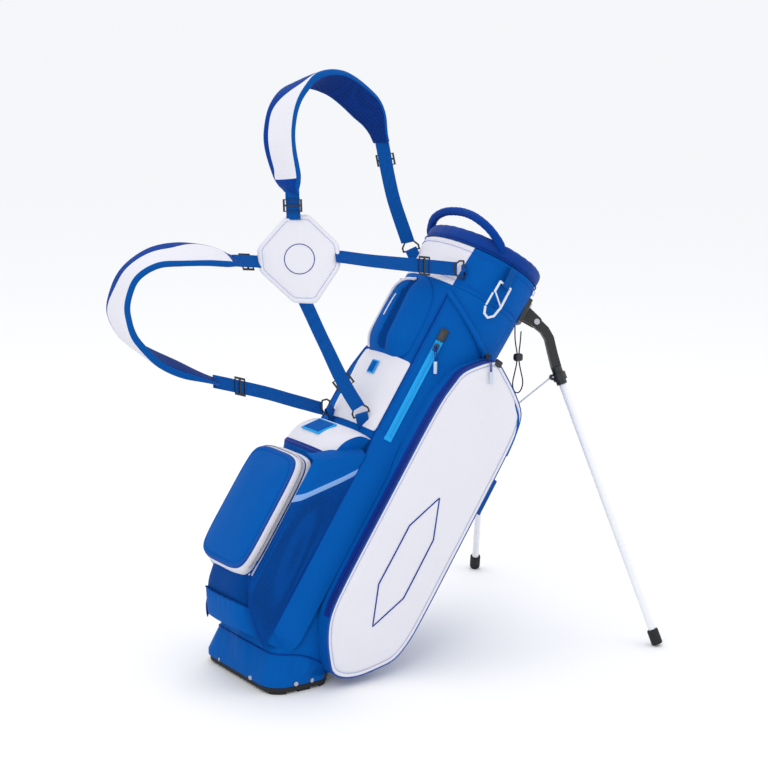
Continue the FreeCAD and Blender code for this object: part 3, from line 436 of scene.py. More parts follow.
def stitches(path, normals, pitch=0.0042, length=0.0028, radius=0.00038, lift=0.0002):
    """Short thread loops laid end to end along a path."""
    parts, run, want = [], 0.0, pitch / 2
    for p, q, n in zip(path, path[1:], normals):
        step = (q - p).length
        while step > 0 and want < run + step:
            t = (want - run) / step
            middle, way = p.lerp(q, t) + n * lift, (q - p).normalized()
            parts.append(tube([middle - way * length / 2, middle - way * length * 0.2 + n * radius,
                               middle + way * length * 0.2 + n * radius, middle + way * length / 2],
                              radius, 5))
            want += pitch
        run += step
    return merge(parts) if parts else ([], [])


def ease(x):
    x = max(0.0, min(1.0, x))
    return x * x * (3 - 2 * x)


# ---- the oval tube ----
TUBE_RX, TUBE_RY, TUBE_LOW, TUBE_HIGH = 105.0, 120.0, 30.0, 738.0


def on_oval(angle, z, lift=0.0, rx=TUBE_RX, ry=TUBE_RY):
    """A point beside the oval column; 0 degrees is the strap side and 90 the near side."""
    a = math.radians(angle)
    flat = Vector((-math.cos(a) / rx, -math.sin(a) / ry, 0)).normalized()
    return bag(-rx * math.cos(a) + flat.x * lift, -ry * math.sin(a) + flat.y * lift, z)


def oval_normal(angle, rx=TUBE_RX, ry=TUBE_RY):
    a = math.radians(angle)
    flat = Vector((-math.cos(a) / rx, -math.sin(a) / ry, 0)).normalized()
    return bag_way(flat.x, flat.y, 0)


def tube_foot(angle):
    """Height of the tube's lower edge, which is cut level on the leg side."""
    x = -TUBE_RX * math.cos(math.radians(angle))
    return TUBE_LOW + max(0.0, x - 5.0) * math.tan(LEAN)


def tube_height(angle, t):
    """Height at the share t of the way from the tube's lower edge to its top."""
    return tube_foot(angle) + (TUBE_HIGH - tube_foot(angle)) * t


def tube_skin_x(y):
    """Where the tube's skin lies on the strap side, this far from the middle."""
    return -TUBE_RX * math.sqrt(max(0.0, 1 - min(1.0, (y / TUBE_RY) ** 2)))


CORNER_SEAM = 36.0
SIDES = 120
ROUND = [360 * j / SIDES for j in range(SIDES)]


def slack(angle, z):
    """How far the cloth dips from the drum-tight oval, in mm."""
    near_seam = min(abs(angle - CORNER_SEAM), abs(angle - (360 - CORNER_SEAM)))
    held = ease(near_seam / 14)
    ripple = (math.sin(z * 0.021 + angle * 0.05) + math.sin(z * 0.037 - angle * 0.09 + 1.3)
              + 0.6 * math.sin(z * 0.083 + angle * 0.16))
    return -0.9 - 0.42 * ripple * held - 0.7 * math.exp(-(near_seam / 1.6) ** 2)


TUBE_WALL, TUBE_STEPS, LINER_STEPS = 3.0, 70, 10
rows = []
for k in range(TUBE_STEPS + 1):
    t = k / TUBE_STEPS
    held = ease(min(t, 1 - t) * 12)
    rows.append([on_oval(a, tube_height(a, t), slack(a, tube_height(a, t)) * held) for a in ROUND])
outer_rows = len(rows)
for k in range(LINER_STEPS, -1, -1):
    t = k / LINER_STEPS
    rows.append([on_oval(a, tube_height(a, t), -TUBE_WALL) for a in ROUND])
verts, faces = loft(rows, True, (False, False), True)
index = [0 if i // SIDES < outer_rows else 1 for i in range(len(faces))]
build("tube_cloth", verts, faces, [BLUE, LINER], index, slot="blue_fabric", stands_for=["tube_shell"])


def seam_piping(name, points, radius, mat, closed=False, slot="blue_fabric"):
    """A round cord sewn into a seam; the radius is in mm."""
    return build(name, *tube(points, radius * MM, 8, closed=closed), mat, slot=slot)


def thread(name, paths, mat, slot="blue_fabric"):
    """Rows of stitches; each path is (points, normals)."""
    return build(name, *merge([stitches(p, n) for p, n in paths]), mat, slot=slot)


for side, angle in (("near", CORNER_SEAM), ("far", 360 - CORNER_SEAM)):
    heights = [36 + 10.3 * i for i in range(68)]
    line = [on_oval(angle, z, -0.6) for z in heights]
    seam_piping(f"corner_seam_{side}", line, 1.4, ROYAL)
    normals = [oval_normal(angle)] * len(heights)
    rowset = [([on_oval(angle + off, z, -0.7) for z in heights], normals) for off in (-2.6, 2.6)]
    thread(f"corner_seam_thread_{side}", rowset, THREAD_BLUE)


# ---- cuff: stiff fabric band with turned hems ----
CUFF_LOW, CUFF_HIGH, CUFF_TOP_RX, CUFF_TOP_RY = 738.3, 818.0, 102.0, 127.0


def cuff_point(angle, z, lift=0.0):
    t = (z - CUFF_LOW) / (CUFF_HIGH - CUFF_LOW)
    rx = TUBE_RX + (CUFF_TOP_RX - TUBE_RX) * t
    ry = TUBE_RY + (CUFF_TOP_RY - TUBE_RY) * t
    return on_oval(angle, z, lift, rx, ry)


profile = [(738.3, -2.2), (738.6, -0.6), (740, 0), (744, 0.1), (746, -0.9), (748, 0.0), (760, 0.5), (780,
                                                                                                     0.8),
           (800, 0.5), (808, 0.0), (810, -0.8), (812, 0.0), (816, -0.1), (817.6, -0.9), (818, -2.4)]
rows = [[cuff_point(a, z, lift - 0.3) for a in ROUND] for z, lift in profile]
cuff_outer = len(rows)
rows += [[cuff_point(a, z, -4.0) for a in ROUND] for z in (818, 790, 760, 738.3)]
verts, faces = loft(rows, True, (False, False), True)
index = []
for i in range(len(faces)):
    deg = ROUND[i % SIDES]
    strap_panel = deg < CORNER_SEAM - 1 or deg >= 360 - CORNER_SEAM
    index.append(1 if i // SIDES >= cuff_outer else (2 if strap_panel else 0))
build("cuff_cloth", verts, faces, [BLUE, LINER, WHITE], index, slot="blue_fabric", stands_for=["cuff_band"])
ring_angles = [360 * j / 240 for j in range(241)]
thread("cuff_thread", [([cuff_point(a, z, 0.0) for a in ring_angles], [oval_normal(a) for a in ring_angles])
                       for z in (748.5, 807.5)], THREAD_BLUE)

# ---- padded rim ----
RIM_SIDES, RIM_STEPS, RIM_MIDDLE = 200, 22, 832.3
rim_rows = []
for k in range(RIM_STEPS):
    a = 2 * math.pi * k / RIM_STEPS
    row = []
    for j in range(RIM_SIDES):
        deg = 360 * j / RIM_SIDES
        pucker = 1 + 0.020 * math.sin(math.radians(deg) * 34) + 0.012 * math.sin(math.radians(deg) * 11 + 1)
        across = 8.4 * math.cos(a) * pucker
        up = 13.6 * math.copysign(abs(math.sin(a)) ** 0.8, math.sin(a)) * (pucker if math.sin(a) > 0 else 1)
        row.append(on_oval(deg, RIM_MIDDLE + up, across - 8.6, CUFF_TOP_RX, CUFF_TOP_RY))
    rim_rows.append(row)
verts, faces = loft(rim_rows, True, (False, False), True)
rim = build("rim_velour", verts, faces, VELOUR, slot="velour", stands_for=["rim_pad"])
rim_seam = [on_oval(a, 819.6, 0.3, CUFF_TOP_RX, CUFF_TOP_RY) for a in ring_angles[:-1]]
seam_piping("rim_piping", rim_seam, 1.3, ROYAL, closed=True)


# ---- club divider: padded bars and a liner ring ----
def padded_bar(points, half, low, high):
    """A wall with a rounded padded top, along points (x, y)."""
    outline = [(-half, low), (-half, high - half), (-half * 0.7, high - half * 0.3), (0, high),
               (half * 0.7, high - half * 0.3), (half, high - half), (half, low)]
    rows = []
    for i, (x, y) in enumerate(points):
        x1, y1 = points[min(i + 1, len(points) - 1)]
        x0, y0 = points[max(i - 1, 0)]
        way = Vector((x1 - x0, y1 - y0)).normalized()
        rows.append([bag(x - way.y * s, y + way.x * s, z) for s, z in outline])
    return loft(rows, True, (True, True))


long_points = [(-82.5 + 165 * i / 20, 0) for i in range(21)]
cross_points = [(0, -107.5 + 215 * i / 20) for i in range(21)]
both_bars = merge([padded_bar(points, 5, 776, 838) for points in (long_points, cross_points)])
bars = build("divider_bars", *both_bars, VELOUR, slot="velour", stands_for=["club_divider"])
ring_profile = [(776, 84.6, 109.6), (830, 84.6, 109.6), (836, 84.2, 109.2), (838, 83.1, 108.1), (836,
                                                                                                 81.9, 106.9),
                (830, 81.6, 106.6), (776, 81.6, 106.6)]
rows = [[bag(-rx * math.cos(math.radians(a)), -ry * math.sin(math.radians(a)), z) for a in ROUND]
        for z, rx, ry in ring_profile]
verts, faces = loft(rows, True, (False, False), True)
build("divider_liner", verts, faces, VELOUR, slot="velour")

for name, long_way in (("divider_wall_long", True), ("divider_wall_cross", False)):
    rows = []
    half = 96.0 if long_way else 115.0
    for k in range(45):
        z = 108 + (775 - 108) * k / 44
        row = []
        for j in range(31):
            s = -half + 2 * half * j / 30
            calm = ease(min(abs(s), half - abs(s)) / 25)
            dip = calm * 1.6 * math.sin(z * 0.03 + s * 0.02) * (1 if long_way else -1)
            row.append(bag(s, dip, z) if long_way else bag(dip, s, z))
        rows.append(row)
    verts, faces = loft(rows, False, (False, False))
    wall = build(name, verts, faces, LINER, slot="dark_liner", stands_for=["divider_walls"])

# ---- carry handle: soft stuffed tube, slimmer at its ends, stitched along its inner side ----
HANDLE = [(-49, -108, 832), (-60, -105, 843), (-80, -84, 859), (-91, -50, 870.5), (-92.5, -16, 876),
          (-92.5, 16, 876), (-91, 50, 870.5), (-80, 84, 859), (-60, 105, 843), (-49, 108, 832)]
path = [bag(*p) for p in spline(HANDLE, 80)]
radii = []
for i in range(80):
    t = i / 79
    end = ease(min(t, 1 - t) / 0.10)
    radii.append((5.6 + 2.2 * end) * MM * (1 + 0.025 * math.sin(i * 1.9)))
verts, faces = tube(path, radii, 16)
handle = build("handle_cover", verts, faces, ROYAL, slot="blue_fabric", stands_for=["carry_handle"])
mouth_middle = bag(0, 0, 850)
inner = [p + (mouth_middle - p).normalized() * radii[i] for i, p in enumerate(path)][8:-8]
thread("handle_thread", [(inner, [(mouth_middle - p).normalized() for p in inner])], THREAD_BLUE)

# ---- side pockets ----
POCKET_OUT = 150.0
GROOVE = 0.075        # where the sewn groove lies, as a share of the way in from the edge
POCKET = [(68, 38), (24, 24), (0, 48), (-23, 75), (-43, 112), (-48, 165), (-48, 350), (-48, 532), (-38, 583),
          (-33, 606), (20, 657), (40, 650), (90, 628), (126, 607), (138, 588), (145, 543), (145, 360),
          (145, 169),
          (141, 134), (132, 100), (109, 76)]
POCKET_RING = even_ring(smooth_ring(POCKET, 2), 160)
CENTRE_LOW, CENTRE_HIGH = 150.0, 545.0


def toward_middle(x, z, k):
    """Moves an outline point toward the pocket's middle line by the share k."""
    middle_x = 48.0 + (z - 340) * 0.015
    middle_z = min(max(z, CENTRE_LOW), CENTRE_HIGH)
    return x + (middle_x - x) * k, z + (middle_z - z) * k


def pocket_point(x, z, k, y):
    """An outline point moved in by the share k, at the depth y."""
    mx, mz = toward_middle(x, z, k)
    return bag(mx, y, mz)


def pocket_back(x):
    """Depth where the gusset meets the tube."""
    if x > 20:
        return 112.0
    return min(112.0, TUBE_RY * math.sqrt(max(0.0, 1 - (x / TUBE_RX) ** 2)) - 2.0)


def pocket_face(k, x, z):
    """Depth of the pocket's face at the share k from its edge."""
    crown = 4.2 * (1 - (1 - min(k, 1.0)) ** 2.2)
    return POCKET_OUT + crown - 2.4 * math.exp(-((k - GROOVE) / 0.018) ** 2)


def on_rear(x, z):
    """Is this outline point on the zip side: the rear and top edge?"""
    return x < 22 and z > 110


for side, sign in (("near", -1), ("far", 1)):
    rows = []
    for d in (0.0, 0.3, 0.46, 0.50, 0.90):
        row = []
        for x, z in POCKET_RING:
            inner_y = pocket_back(x)
            y = inner_y + (POCKET_OUT - 6 - inner_y) * d / 0.9
            puff = 1.2 * math.sin(math.pi * min(1, d / 0.46)) if d <= 0.46 else 0
            row.append(pocket_point(x, z, -0.006 * puff, sign * y))
        rows.append(row)
    for k, y in ((0.004, POCKET_OUT - 2.5), (0.018, POCKET_OUT - 0.4)):
        rows.append([pocket_point(x, z, k, sign * y) for x, z in POCKET_RING])
    face_from = len(rows)
    for k in (0.035, 0.055, 0.065, 0.075, 0.085, 0.1, 0.14, 0.2, 0.3, 0.42, 0.55, 0.7, 0.85, 1.0):
        row = []
        for x, z in POCKET_RING:
            mx, mz = toward_middle(x, z, k)
            swell = 0.5 * math.sin(mz * 0.025 + mx * 0.03) * ease(k / 0.3)
            row.append(bag(mx, sign * (pocket_face(k, mx, mz) + swell), mz))
        rows.append(row)
    verts, faces = loft(rows, True, (True, False))
    wide = len(POCKET_RING)
    index = []
    for n in range(len(faces)):
        i, j = divmod(n, wide)
        x, z = POCKET_RING[j]
        if n >= (len(rows) - 1) * wide:
            index.append(2)
        elif i >= face_from - 1:
            index.append(0)
        elif on_rear(x, z) and i >= 3 and side == "near":
            index.append(1)
        else:
            index.append(2)
    pocket = build(f"{side}_pocket_cloth", verts, faces, [WHITE, PURPLE, BLUE], index, slot="white_fabric",
                   stands_for=[f"{side}_side_pocket"])
    edge = [pocket_point(x, z, 0.004, sign * (POCKET_OUT - 1.6)) for x, z in POCKET_RING]
    seam_piping(f"{side}_pocket_piping", edge, 1.7, PIPING, closed=True)
    out = bag_way(0, sign, 0)
    sewn = [pocket_point(x, z, GROOVE, sign * (pocket_face(GROOVE, x, z) + 0.15)) for x, z in POCKET_RING]
    line = (sewn + sewn[:1], [out] * (len(sewn) + 1))
    thread(f"{side}_pocket_thread", [line], THREAD_PALE, slot="white_fabric")
    # a plain long six-sided outline in raised stitch
    corners = [(48, 390), (80, 320), (80, 204), (48, 134), (16, 204), (16, 320)]
    ring = []
    for (x0, z0), (x1, z1) in zip(corners, corners[1:] + corners[:1]):
        ring += [(x0 + (x1 - x0) * s / 16, z0 + (z1 - z0) * s / 16) for s in range(16)]
    pts = [bag(x, sign * (POCKET_OUT + 4.35 + 0.5 * math.sin(z * 0.025 + x * 0.03)), z) for x, z in ring]
    build(f"{side}_pocket_motif", *tube(pts, 1.3 * MM, 6, closed=True), ROYAL, slot="blue_fabric")


# ---- zips ----
ZIP_SECTION = ((-1, 0), (-0.98, 0.5), (-0.35, 0.6), (-0.12, 0.9), (0.12, 0.9), (0.35, 0.6), (0.98, 0.5),
               (1, 0))
TOOTH = ((-1.9, -0.2), (-1.4, 0.5), (0, 0.85), (1.4, 0.5), (1.9, -0.2))
TOOTH_PITCH, TOOTH_RADIUS = 1.25, 0.42


def zip_strip(name, path, normals, width, tape_mat, coil_mat, stands_for=(), lift=0.7):
    """Tape with a coil of teeth down its middle, lying on a path."""
    rows = []
    for i, (p, n) in enumerate(zip(path, normals)):
        along = (path[min(i + 1, len(path) - 1)] - path[max(i - 1, 0)]).normalized()
        side = along.cross(n).normalized()
        rows.append([p + side * s * width / 2 * MM + n * (h * lift) * MM for s, h in ZIP_SECTION])
    build(name, *loft(rows), tape_mat, slot="zip_tape", stands_for=stands_for)
    teeth, run, want = [], 0.0, 0.0
    for i in range(len(path) - 1):
        p, q, n = path[i], path[i + 1], normals[i]
        step = (q - p).length
        while want < run + step:
            middle, way = p.lerp(q, (want - run) / step), (q - p).normalized()
            side = way.cross(n).normalized()
            up = n * (0.9 * lift) * MM
            arc = [middle + side * s * MM + up + n * h * MM + way * s * 0.22 * MM for s, h in TOOTH]
            teeth.append(tube(arc, TOOTH_RADIUS * MM, 5))
            want += TOOTH_PITCH * MM
        run += step
    build(name + "_coil", *merge(teeth), coil_mat, slot="zip_tape")


zip_heights = [440 + 4 * i for i in range(51)]
zip_angle = 50.0
zip_strip("side_zip", [on_oval(zip_angle, z, 0.35) for z in zip_heights], [oval_normal(zip_angle)] * 51,
          14, LIGHT, LIGHT_COIL, ["side_zip_tape"], lift=1.3)

rear_line = [(x, z) for x, z in POCKET_RING if x < 20.5 and z > 118]
rear_line.sort(key=lambda p: (p[1], p[0]))
rear_path, rear_normals = [], []
for i, (x, z) in enumerate(rear_line):
    x0, z0 = rear_line[max(i - 1, 0)]
    x1, z1 = rear_line[min(i + 1, len(rear_line) - 1)]
    way = Vector((x1 - x0, z1 - z0)).normalized()
    nx, nz = -way.y, way.x
    rear_path.append(bag(x + nx * 0.4, -143, z + nz * 0.4))
    rear_normals.append(bag_way(nx, 0, nz))
zip_strip("main_zip", rear_path, rear_normals, 14, TAPE, COIL, ["main_zip_tape"])


def soft_block(name, centre, ways, size, radius, mat, slot="blue_fabric"):
    """A small rounded block: a garage, tab or patch. ways are its three unit directions."""
    u, v, w = ways
    a, b, c = (s / 2 for s in size)
    outline = []
    for cx, cy, start in ((a - radius, b - radius, 0), (-(a - radius), b - radius, 90),
                          (-(a - radius), -(b - radius), 180), (a - radius, -(b - radius), 270)):
        for i in range(5):
            t = math.radians(start + 90 * i / 4)
            outline.append((cx, cy, math.cos(t), math.sin(t)))
    edge = min(radius, c)
    rows = []
    for end, steps in ((-1, range(5)), (1, range(4, -1, -1))):
        for i in steps:
            t = math.pi / 2 * i / 4
            reach = radius - edge * (1 - math.sin(t))
            h = end * (c - edge * (1 - math.cos(t)))
            rows.append([centre + (u * (x + dx * reach) + v * (y + dy * reach) + w * h) * MM
                         for x, y, dx, dy in outline])
    return build(name, *loft(rows), mat, slot=slot)


BAG_X = bag_way(1, 0, 0)
BAG_Z = bag_way(0, 0, 1)
Y_WAY = Vector((0, 1, 0))
zip_normal = oval_normal(zip_angle)
zip_ways = (BAG_Z.cross(zip_normal).normalized(), BAG_Z, zip_normal)
for label, z, size, finish in (("top", 648, (15, 24, 4.2), BLACK), ("foot", 438, (15, 8, 2.4), LIGHT)):
    soft_block(f"side_zip_garage_{label}", on_oval(zip_angle, z, 1.6), zip_ways, size, 2.0, finish,
               "black_plastic")
soft_block("main_zip_garage", bag(29, -149.5, 652), (BAG_X, BAG_Z, Y_WAY), (15, 12, 6), 2, BLACK,
           "black_plastic")


# ---- pads on the strap side ----
PAD_SHARES = (0.0, 0.01, 0.03, 0.06, 0.1, 0.16, 0.24, 0.34, 0.46, 0.6, 0.75, 0.9, 1.0)


def strap_side_pad(name, outline, depth, mats, slot, stands_for, pick=None, shares=PAD_SHARES):
    """A pad on the strap side of the tube: outline in (y, z), domed out along -x."""
    ring = even_ring(smooth_ring(outline, 2), 96)
    my = sum(p[0] for p in ring) / len(ring)
    mz = sum(p[1] for p in ring) / len(ring)
    rows = []
    for i, share in enumerate((0.0,) + shares):
        row = []
        for y, z in ring:
            py, pz = y + (my - y) * share, z + (mz - z) * share
            out = depth(share, py, pz) if i else -1.0        # the first row is sunk 1 mm in the tube
            row.append(bag(tube_skin_x(py) - out, py, pz))
        rows.append(row)
    verts, faces = loft(rows, True, (True, False))
    index = None
    if pick:
        index = []
        for n in range(len(faces)):
            i, j = divmod(n, len(ring))
            index.append(pick(shares[min(i, len(shares) - 1)] if i else 0.0, ring[j][0]))
    piece = build(name, verts, faces, mats, index, slot=slot, stands_for=stands_for)


HIP_OUTLINE = [(-58, 575), (-58, 640), (-56, 690), (-42, 722), (-18, 736), (18, 736), (42, 722), (56, 690),
               (58, 640), (58, 575), (0, 575)]


def hip_depth(k, y, z):
    dome = 21 * (1 - (1 - min(1, k * 1.7)) ** 2.6)
    valley = 10 * math.exp(-((y + 6 - (z - 655) * 0.06) / 8.5) ** 2) * ease(k * 4) * ease((742 - z) / 30)
    return 2 + dome - valley


def hip_valley_painted_shade(share, y):
    """Painted shade: navy cloth on the faces in the valley between the pad's two lobes, where shade falls."""
    return 1 if abs(y * (1 - share) + 6) < 9 and share > 0.1 else 0


HIP_SHARES = (0.0, 0.01, 0.03, 0.06, 0.1, 0.15, 0.21, 0.28, 0.35, 0.43, 0.52, 0.6, 0.68, 0.76, 0.84, 0.92,
              1.0)
# the hip pad's NAVY valley faces are painted shade between its two lobes
strap_side_pad("hip_pad_cloth", HIP_OUTLINE, hip_depth, [BLUE, NAVY], "blue_fabric", ["hip_pad"],
               pick=hip_valley_painted_shade, shares=HIP_SHARES)


def hip_surface(y, z, lift):
    """A point on the hip pad's far lobe."""
    k = 1 - max(abs(y) / 58, abs(z - 655) / 81)
    return bag(-TUBE_RX * math.sqrt(1 - (y / TUBE_RY) ** 2) - hip_depth(max(0.0, k), y, z) - lift, y, z)


HIP_LINES = (("outer", 2.8, [(35, 580), (36, 610), (37, 645), (35, 680), (29, 702), (16, 717), (-4, 725)]),
             ("accent", 1.4, [(15, 640), (15, 655), (14, 670), (12, 684)]))
for name, radius, points in HIP_LINES:
    line = [hip_surface(y, z, 0.3) for y, z in spline(points, 40)]
    seam_piping(f"hip_piping_{name}", line, radius, WHITE, slot="white_fabric")

SPINE_OUTLINE = [(-71, 440), (-71, 500), (-71, 560), (-71, 577), (-71, 578), (-40, 578), (0, 578), (50, 578),
                 (107, 578), (107, 577), (107, 560), (107, 500), (107, 440), (107, 439), (0, 439), (-71, 439)]


def spine_depth(k, y, z):
    return 2.2 + 3.2 * (1 - (1 - min(1, k * 2)) ** 2) + 0.5 * math.sin(z * 0.09 + y * 0.03)


strap_side_pad("spine_cloth", SPINE_OUTLINE, spine_depth, WHITE, "white_fabric", ["spine_panel"])
OUT = bag_way(-1, 0, 0)
soft_block("spine_patch_edge", bag(-111.3, -8, 546), (Y_WAY, BAG_Z, OUT), (20, 26, 2.0), 0.9, LIGHT)
soft_block("spine_patch", bag(-111.9, -8, 546), (Y_WAY, BAG_Z, OUT), (15, 21, 2.4), 1.1, BLUE)

# ball pocket: blue body, white gusset band with its zip, crowned front panel
BALL_LOW, BALL_HIGH, BALL_HALF, BALL_SHIFT = 108.0, 330.0, 74.0, 4.0
r = 34
BALL_OUTLINE = [(-BALL_HALF + r, BALL_LOW), (-BALL_HALF + 8, BALL_LOW + 8), (-BALL_HALF, BALL_LOW + r),
                (-BALL_HALF, 220), (-BALL_HALF + 1, BALL_HIGH - r), (-BALL_HALF + 9, BALL_HIGH - 8),
                (-BALL_HALF + r, BALL_HIGH), (0, BALL_HIGH), (BALL_HALF - r, BALL_HIGH),
                (BALL_HALF - 9, BALL_HIGH - 8), (BALL_HALF - 1, BALL_HIGH - r), (BALL_HALF, 220),
                (BALL_HALF, BALL_LOW + r), (BALL_HALF - 8, BALL_LOW + 8), (BALL_HALF - r, BALL_LOW),
                (0, BALL_LOW)]
BALL_RING = [(y + BALL_SHIFT, z) for y, z in even_ring(smooth_ring(BALL_OUTLINE, 2), 128)]
ball_middle = (BALL_SHIFT, 218.0)


def ball_row(depth_of, share):
    row = []
    for y, z in BALL_RING:
        py, pz = y + (ball_middle[0] - y) * share, z + (ball_middle[1] - z) * share
        row.append(bag(depth_of(py, pz, share), py, pz))
    return row


def ball_flat(x, share):
    """One row of the pocket in a flat plane."""
    return ball_row(lambda y, z, s: x, share)


def ball_front(y, z, share):
    """The crowned front panel with its sewn groove and slow ripple."""
    crown = 12.5 * (1 - (1 - min(1, share * 1.1)) ** 2.0)
    groove = 1.8 * math.exp(-((share - 0.08) / 0.014) ** 2)
    return -(200 + crown - groove + 0.8 * math.sin(z * 0.05 + y * 0.04) * ease(share * 3))


ball_rows = [ball_row(lambda y, z, s: tube_skin_x(y) + 6, 0.05),
             ball_row(lambda y, z, s: min(tube_skin_x(y) - 20, -118), 0.004)]
for x, share in ((-136, -0.08), (-154, -0.10), (-170, -0.10), (-176, -0.07), (-178, -0.05), (-180, -0.055),
                 (-190, -0.03), (-196, -0.004), (-198.5, 0.018)):
    ball_rows.append(ball_flat(x, share))
ball_face_from = len(ball_rows)
for share in (0.035, 0.05, 0.065, 0.08, 0.1, 0.14, 0.2, 0.3, 0.42, 0.56, 0.7, 0.85, 1.0):
    ball_rows.append(ball_row(ball_front, share))
verts, faces = loft(ball_rows, True, (True, False))
index = []
for n in range(len(faces)):
    i = n // len(BALL_RING)
    if i < 4 or i >= len(ball_rows) - 1:
        index.append(0)
    elif i < ball_face_from - 2:
        index.append(1)
    else:
        index.append(2)
ball = build("ball_pocket_cloth", verts, faces, [NAVY, WHITE, BLUE], index, slot="blue_fabric",
             stands_for=["ball_pocket"])
for label, x, share, rad, mat in (("front", -199, 0.026, 1.8, PIPING), ("rear", -178, -0.052, 1.4, NAVY)):
    seam_piping(f"ball_piping_{label}", ball_flat(x, share), rad, mat, closed=True)

# zip round the ball pocket's gusset: up both sides and over the top
start = min(range(len(BALL_RING)), key=lambda i: BALL_RING[i][1] + abs(BALL_RING[i][0]) * 0.01)
zip_ring = (BALL_RING[start:] + BALL_RING[:start])[14:-14]
pz, pn = [], []
for i, (y, z) in enumerate(zip_ring):
    y0, z0 = zip_ring[max(i - 1, 0)]
    y1, z1 = zip_ring[min(i + 1, len(zip_ring) - 1)]
    way = Vector((y1 - y0, z1 - z0)).normalized()
    ny, nz = way.y, -way.x
    if ny * (y - BALL_SHIFT) + nz * (z - 218) < 0:
        ny, nz = -ny, -nz
    pz.append(bag(-187, BALL_SHIFT + (y - BALL_SHIFT) * 1.038 + ny * 0.6, 218 + (z - 218) * 1.038 + nz * 0.6))
    pn.append(bag_way(0, ny, nz))
zip_strip("ball_zip", pz, pn, 8, WHITE, WHITE)

# valuables pocket: sloping white lid over a blue body
VALUABLES = [(-60, 336), (-150, 336), (-163, 346), (-166, 360), (-160, 386), (-146, 406), (-122, 423),
             (-90, 427),
             (-60, 427)]
VALUABLES_HALF, LID_POINTS, LID_STEPS, LID_FROM = 73, 40, 26, 15
lid_curve = spline(VALUABLES, LID_POINTS)


def lid_x(x, t):
    """The pocket draws in toward its two ends, at t = -1 and 1."""
    return -60 + (x + 60) * (1 - 0.16 * abs(t) ** 6 - 0.05 * t * t)


rows = []
for j in range(LID_STEPS + 1):
    t = -1 + 2 * j / LID_STEPS
    rows.append([bag(lid_x(x, t), VALUABLES_HALF * t, 380 + (z - 380) * (1 - 0.10 * abs(t) ** 8))
                 for x, z in lid_curve])
verts, faces = loft(rows)
index = [0 if n < LID_STEPS * LID_POINTS and n % LID_POINTS >= LID_FROM else 1 for n in range(len(faces))]
valuables = build("valuables_pocket_cloth", verts, faces, [WHITE, BLUE], index, slot="white_fabric",
                  stands_for=["valuables_pocket"])
zx, zz = lid_curve[LID_FROM - 1]
zip_path = []
for j in range(41):
    t = -0.93 + 1.86 * j / 40
    zip_path.append(bag(lid_x(zx, t) - 0.3, VALUABLES_HALF * t, zz))
zip_strip("valuables_zip", zip_path, [OUT] * 41, 10, PURPLE, COIL)
lx, lz = lid_curve[27]
lx2, lz2 = lid_curve[20]
slope = (bag(lx, 0, lz) - bag(lx2, 0, lz2)).normalized()
lid_out = Y_WAY.cross(slope).normalized()
if lid_out.dot(OUT) < 0:
    lid_out = -lid_out
patch_at = (bag(lx, 0, lz) + bag(lx2, 0, lz2)) / 2
lid_ways = (Y_WAY, slope, lid_out)
soft_block("valuables_patch_edge", patch_at + lid_out * 2.1 * MM, lid_ways, (56, 42, 3), 1.4, LIGHT)
soft_block("valuables_patch", patch_at + lid_out * 2.7 * MM, lid_ways, (50, 36, 3), 1.4, BLUE)

# front pouch under the ball pocket: a recessed upper wall and a cloth pouch with an elastic mouth
POUCH_MOUTH = 64.0
POUCH_FRONT = [(-12, 104), (8, 124), (32, 148), (48, 162), (64, 174), (78, 180), (104, 186), (118, 188)]


def pouch_front(z):
    for (z0, x0), (z1, x1) in zip(POUCH_FRONT, POUCH_FRONT[1:]):
        if z <= z1:
            return x0 + (x1 - x0) * (z - z0) / (z1 - z0)
    return POUCH_FRONT[-1][1]


def pouch_row(z, lift):
    row = []
    for j in range(81):
        t = -1 + 2 * j / 80
        gather = 0.9 * math.sin(t * 40) * math.exp(-((z - POUCH_MOUTH) / 12) ** 2) if z <= POUCH_MOUTH else 0
        front = pouch_front(z) + lift + gather
        half = 95.5 if t < 0 else 74.0
        sag = 6 * (1 - t * t) if lift else 0
        row.append(bag(-60 - (front - 60) * (1 - abs(t) ** 4.5) ** 0.5, half * t, z - sag))
    return row


upper_rows = [pouch_row(z, 0) for z in (50, 60, 70, 80, 90, 100, 108, 114)]
build("pouch_back", *loft(upper_rows, False, (False, False)), NAVY, slot="blue_fabric",
      stands_for=["sleeve_pocket"])
lower_rows = [pouch_row(z, 1.6) for z in (24, 28, 32, 37, 42, 50, 56, 60, 64)]
lower_rows += [pouch_row(64, 1.0), pouch_row(56, 0.6)]
pouch = build("front_pouch_cloth", *loft(lower_rows, False, (False, False)), BLUE, slot="blue_fabric")
seam_piping("pouch_mouth", pouch_row(64, 1.4)[2:-1], 1.5, NAVY)

# side bodies: a smooth strip beside the side pocket, a seam, then the mesh bottle pocket under its bright hem
SEAM_PLAN, STRIP_END = (-99.0, -98.0), (-49.5, -117.6)
LOW_EDGE = [(-99, 14), (-110, 21), (-130, 33), (-150, 47), (-170, 66), (-187, 98)]
HEM = [(-99, 358), (-120, 333), (-145, 306), (-170, 279), (-187, 262)]
TOP_EDGE = [(-99, 392), (-120, 381), (-145, 366), (-170, 349), (-187, 336)]


def along_edge(edge, x):
    for (x0, z0), (x1, z1) in zip(edge, edge[1:]):
        if x >= x1:
            return z0 + (z1 - z0) * (x - x0) / (x1 - x0)
    return edge[-1][1]


def turn_in(x, sign):
    """How far the bottle pocket turns in toward the pouch; the far one turns in sooner."""
    if sign > 0:
        return 9 * ease((-176 - x) / 14)
    return 44 * ((-99 - x) / 51) ** 1.3


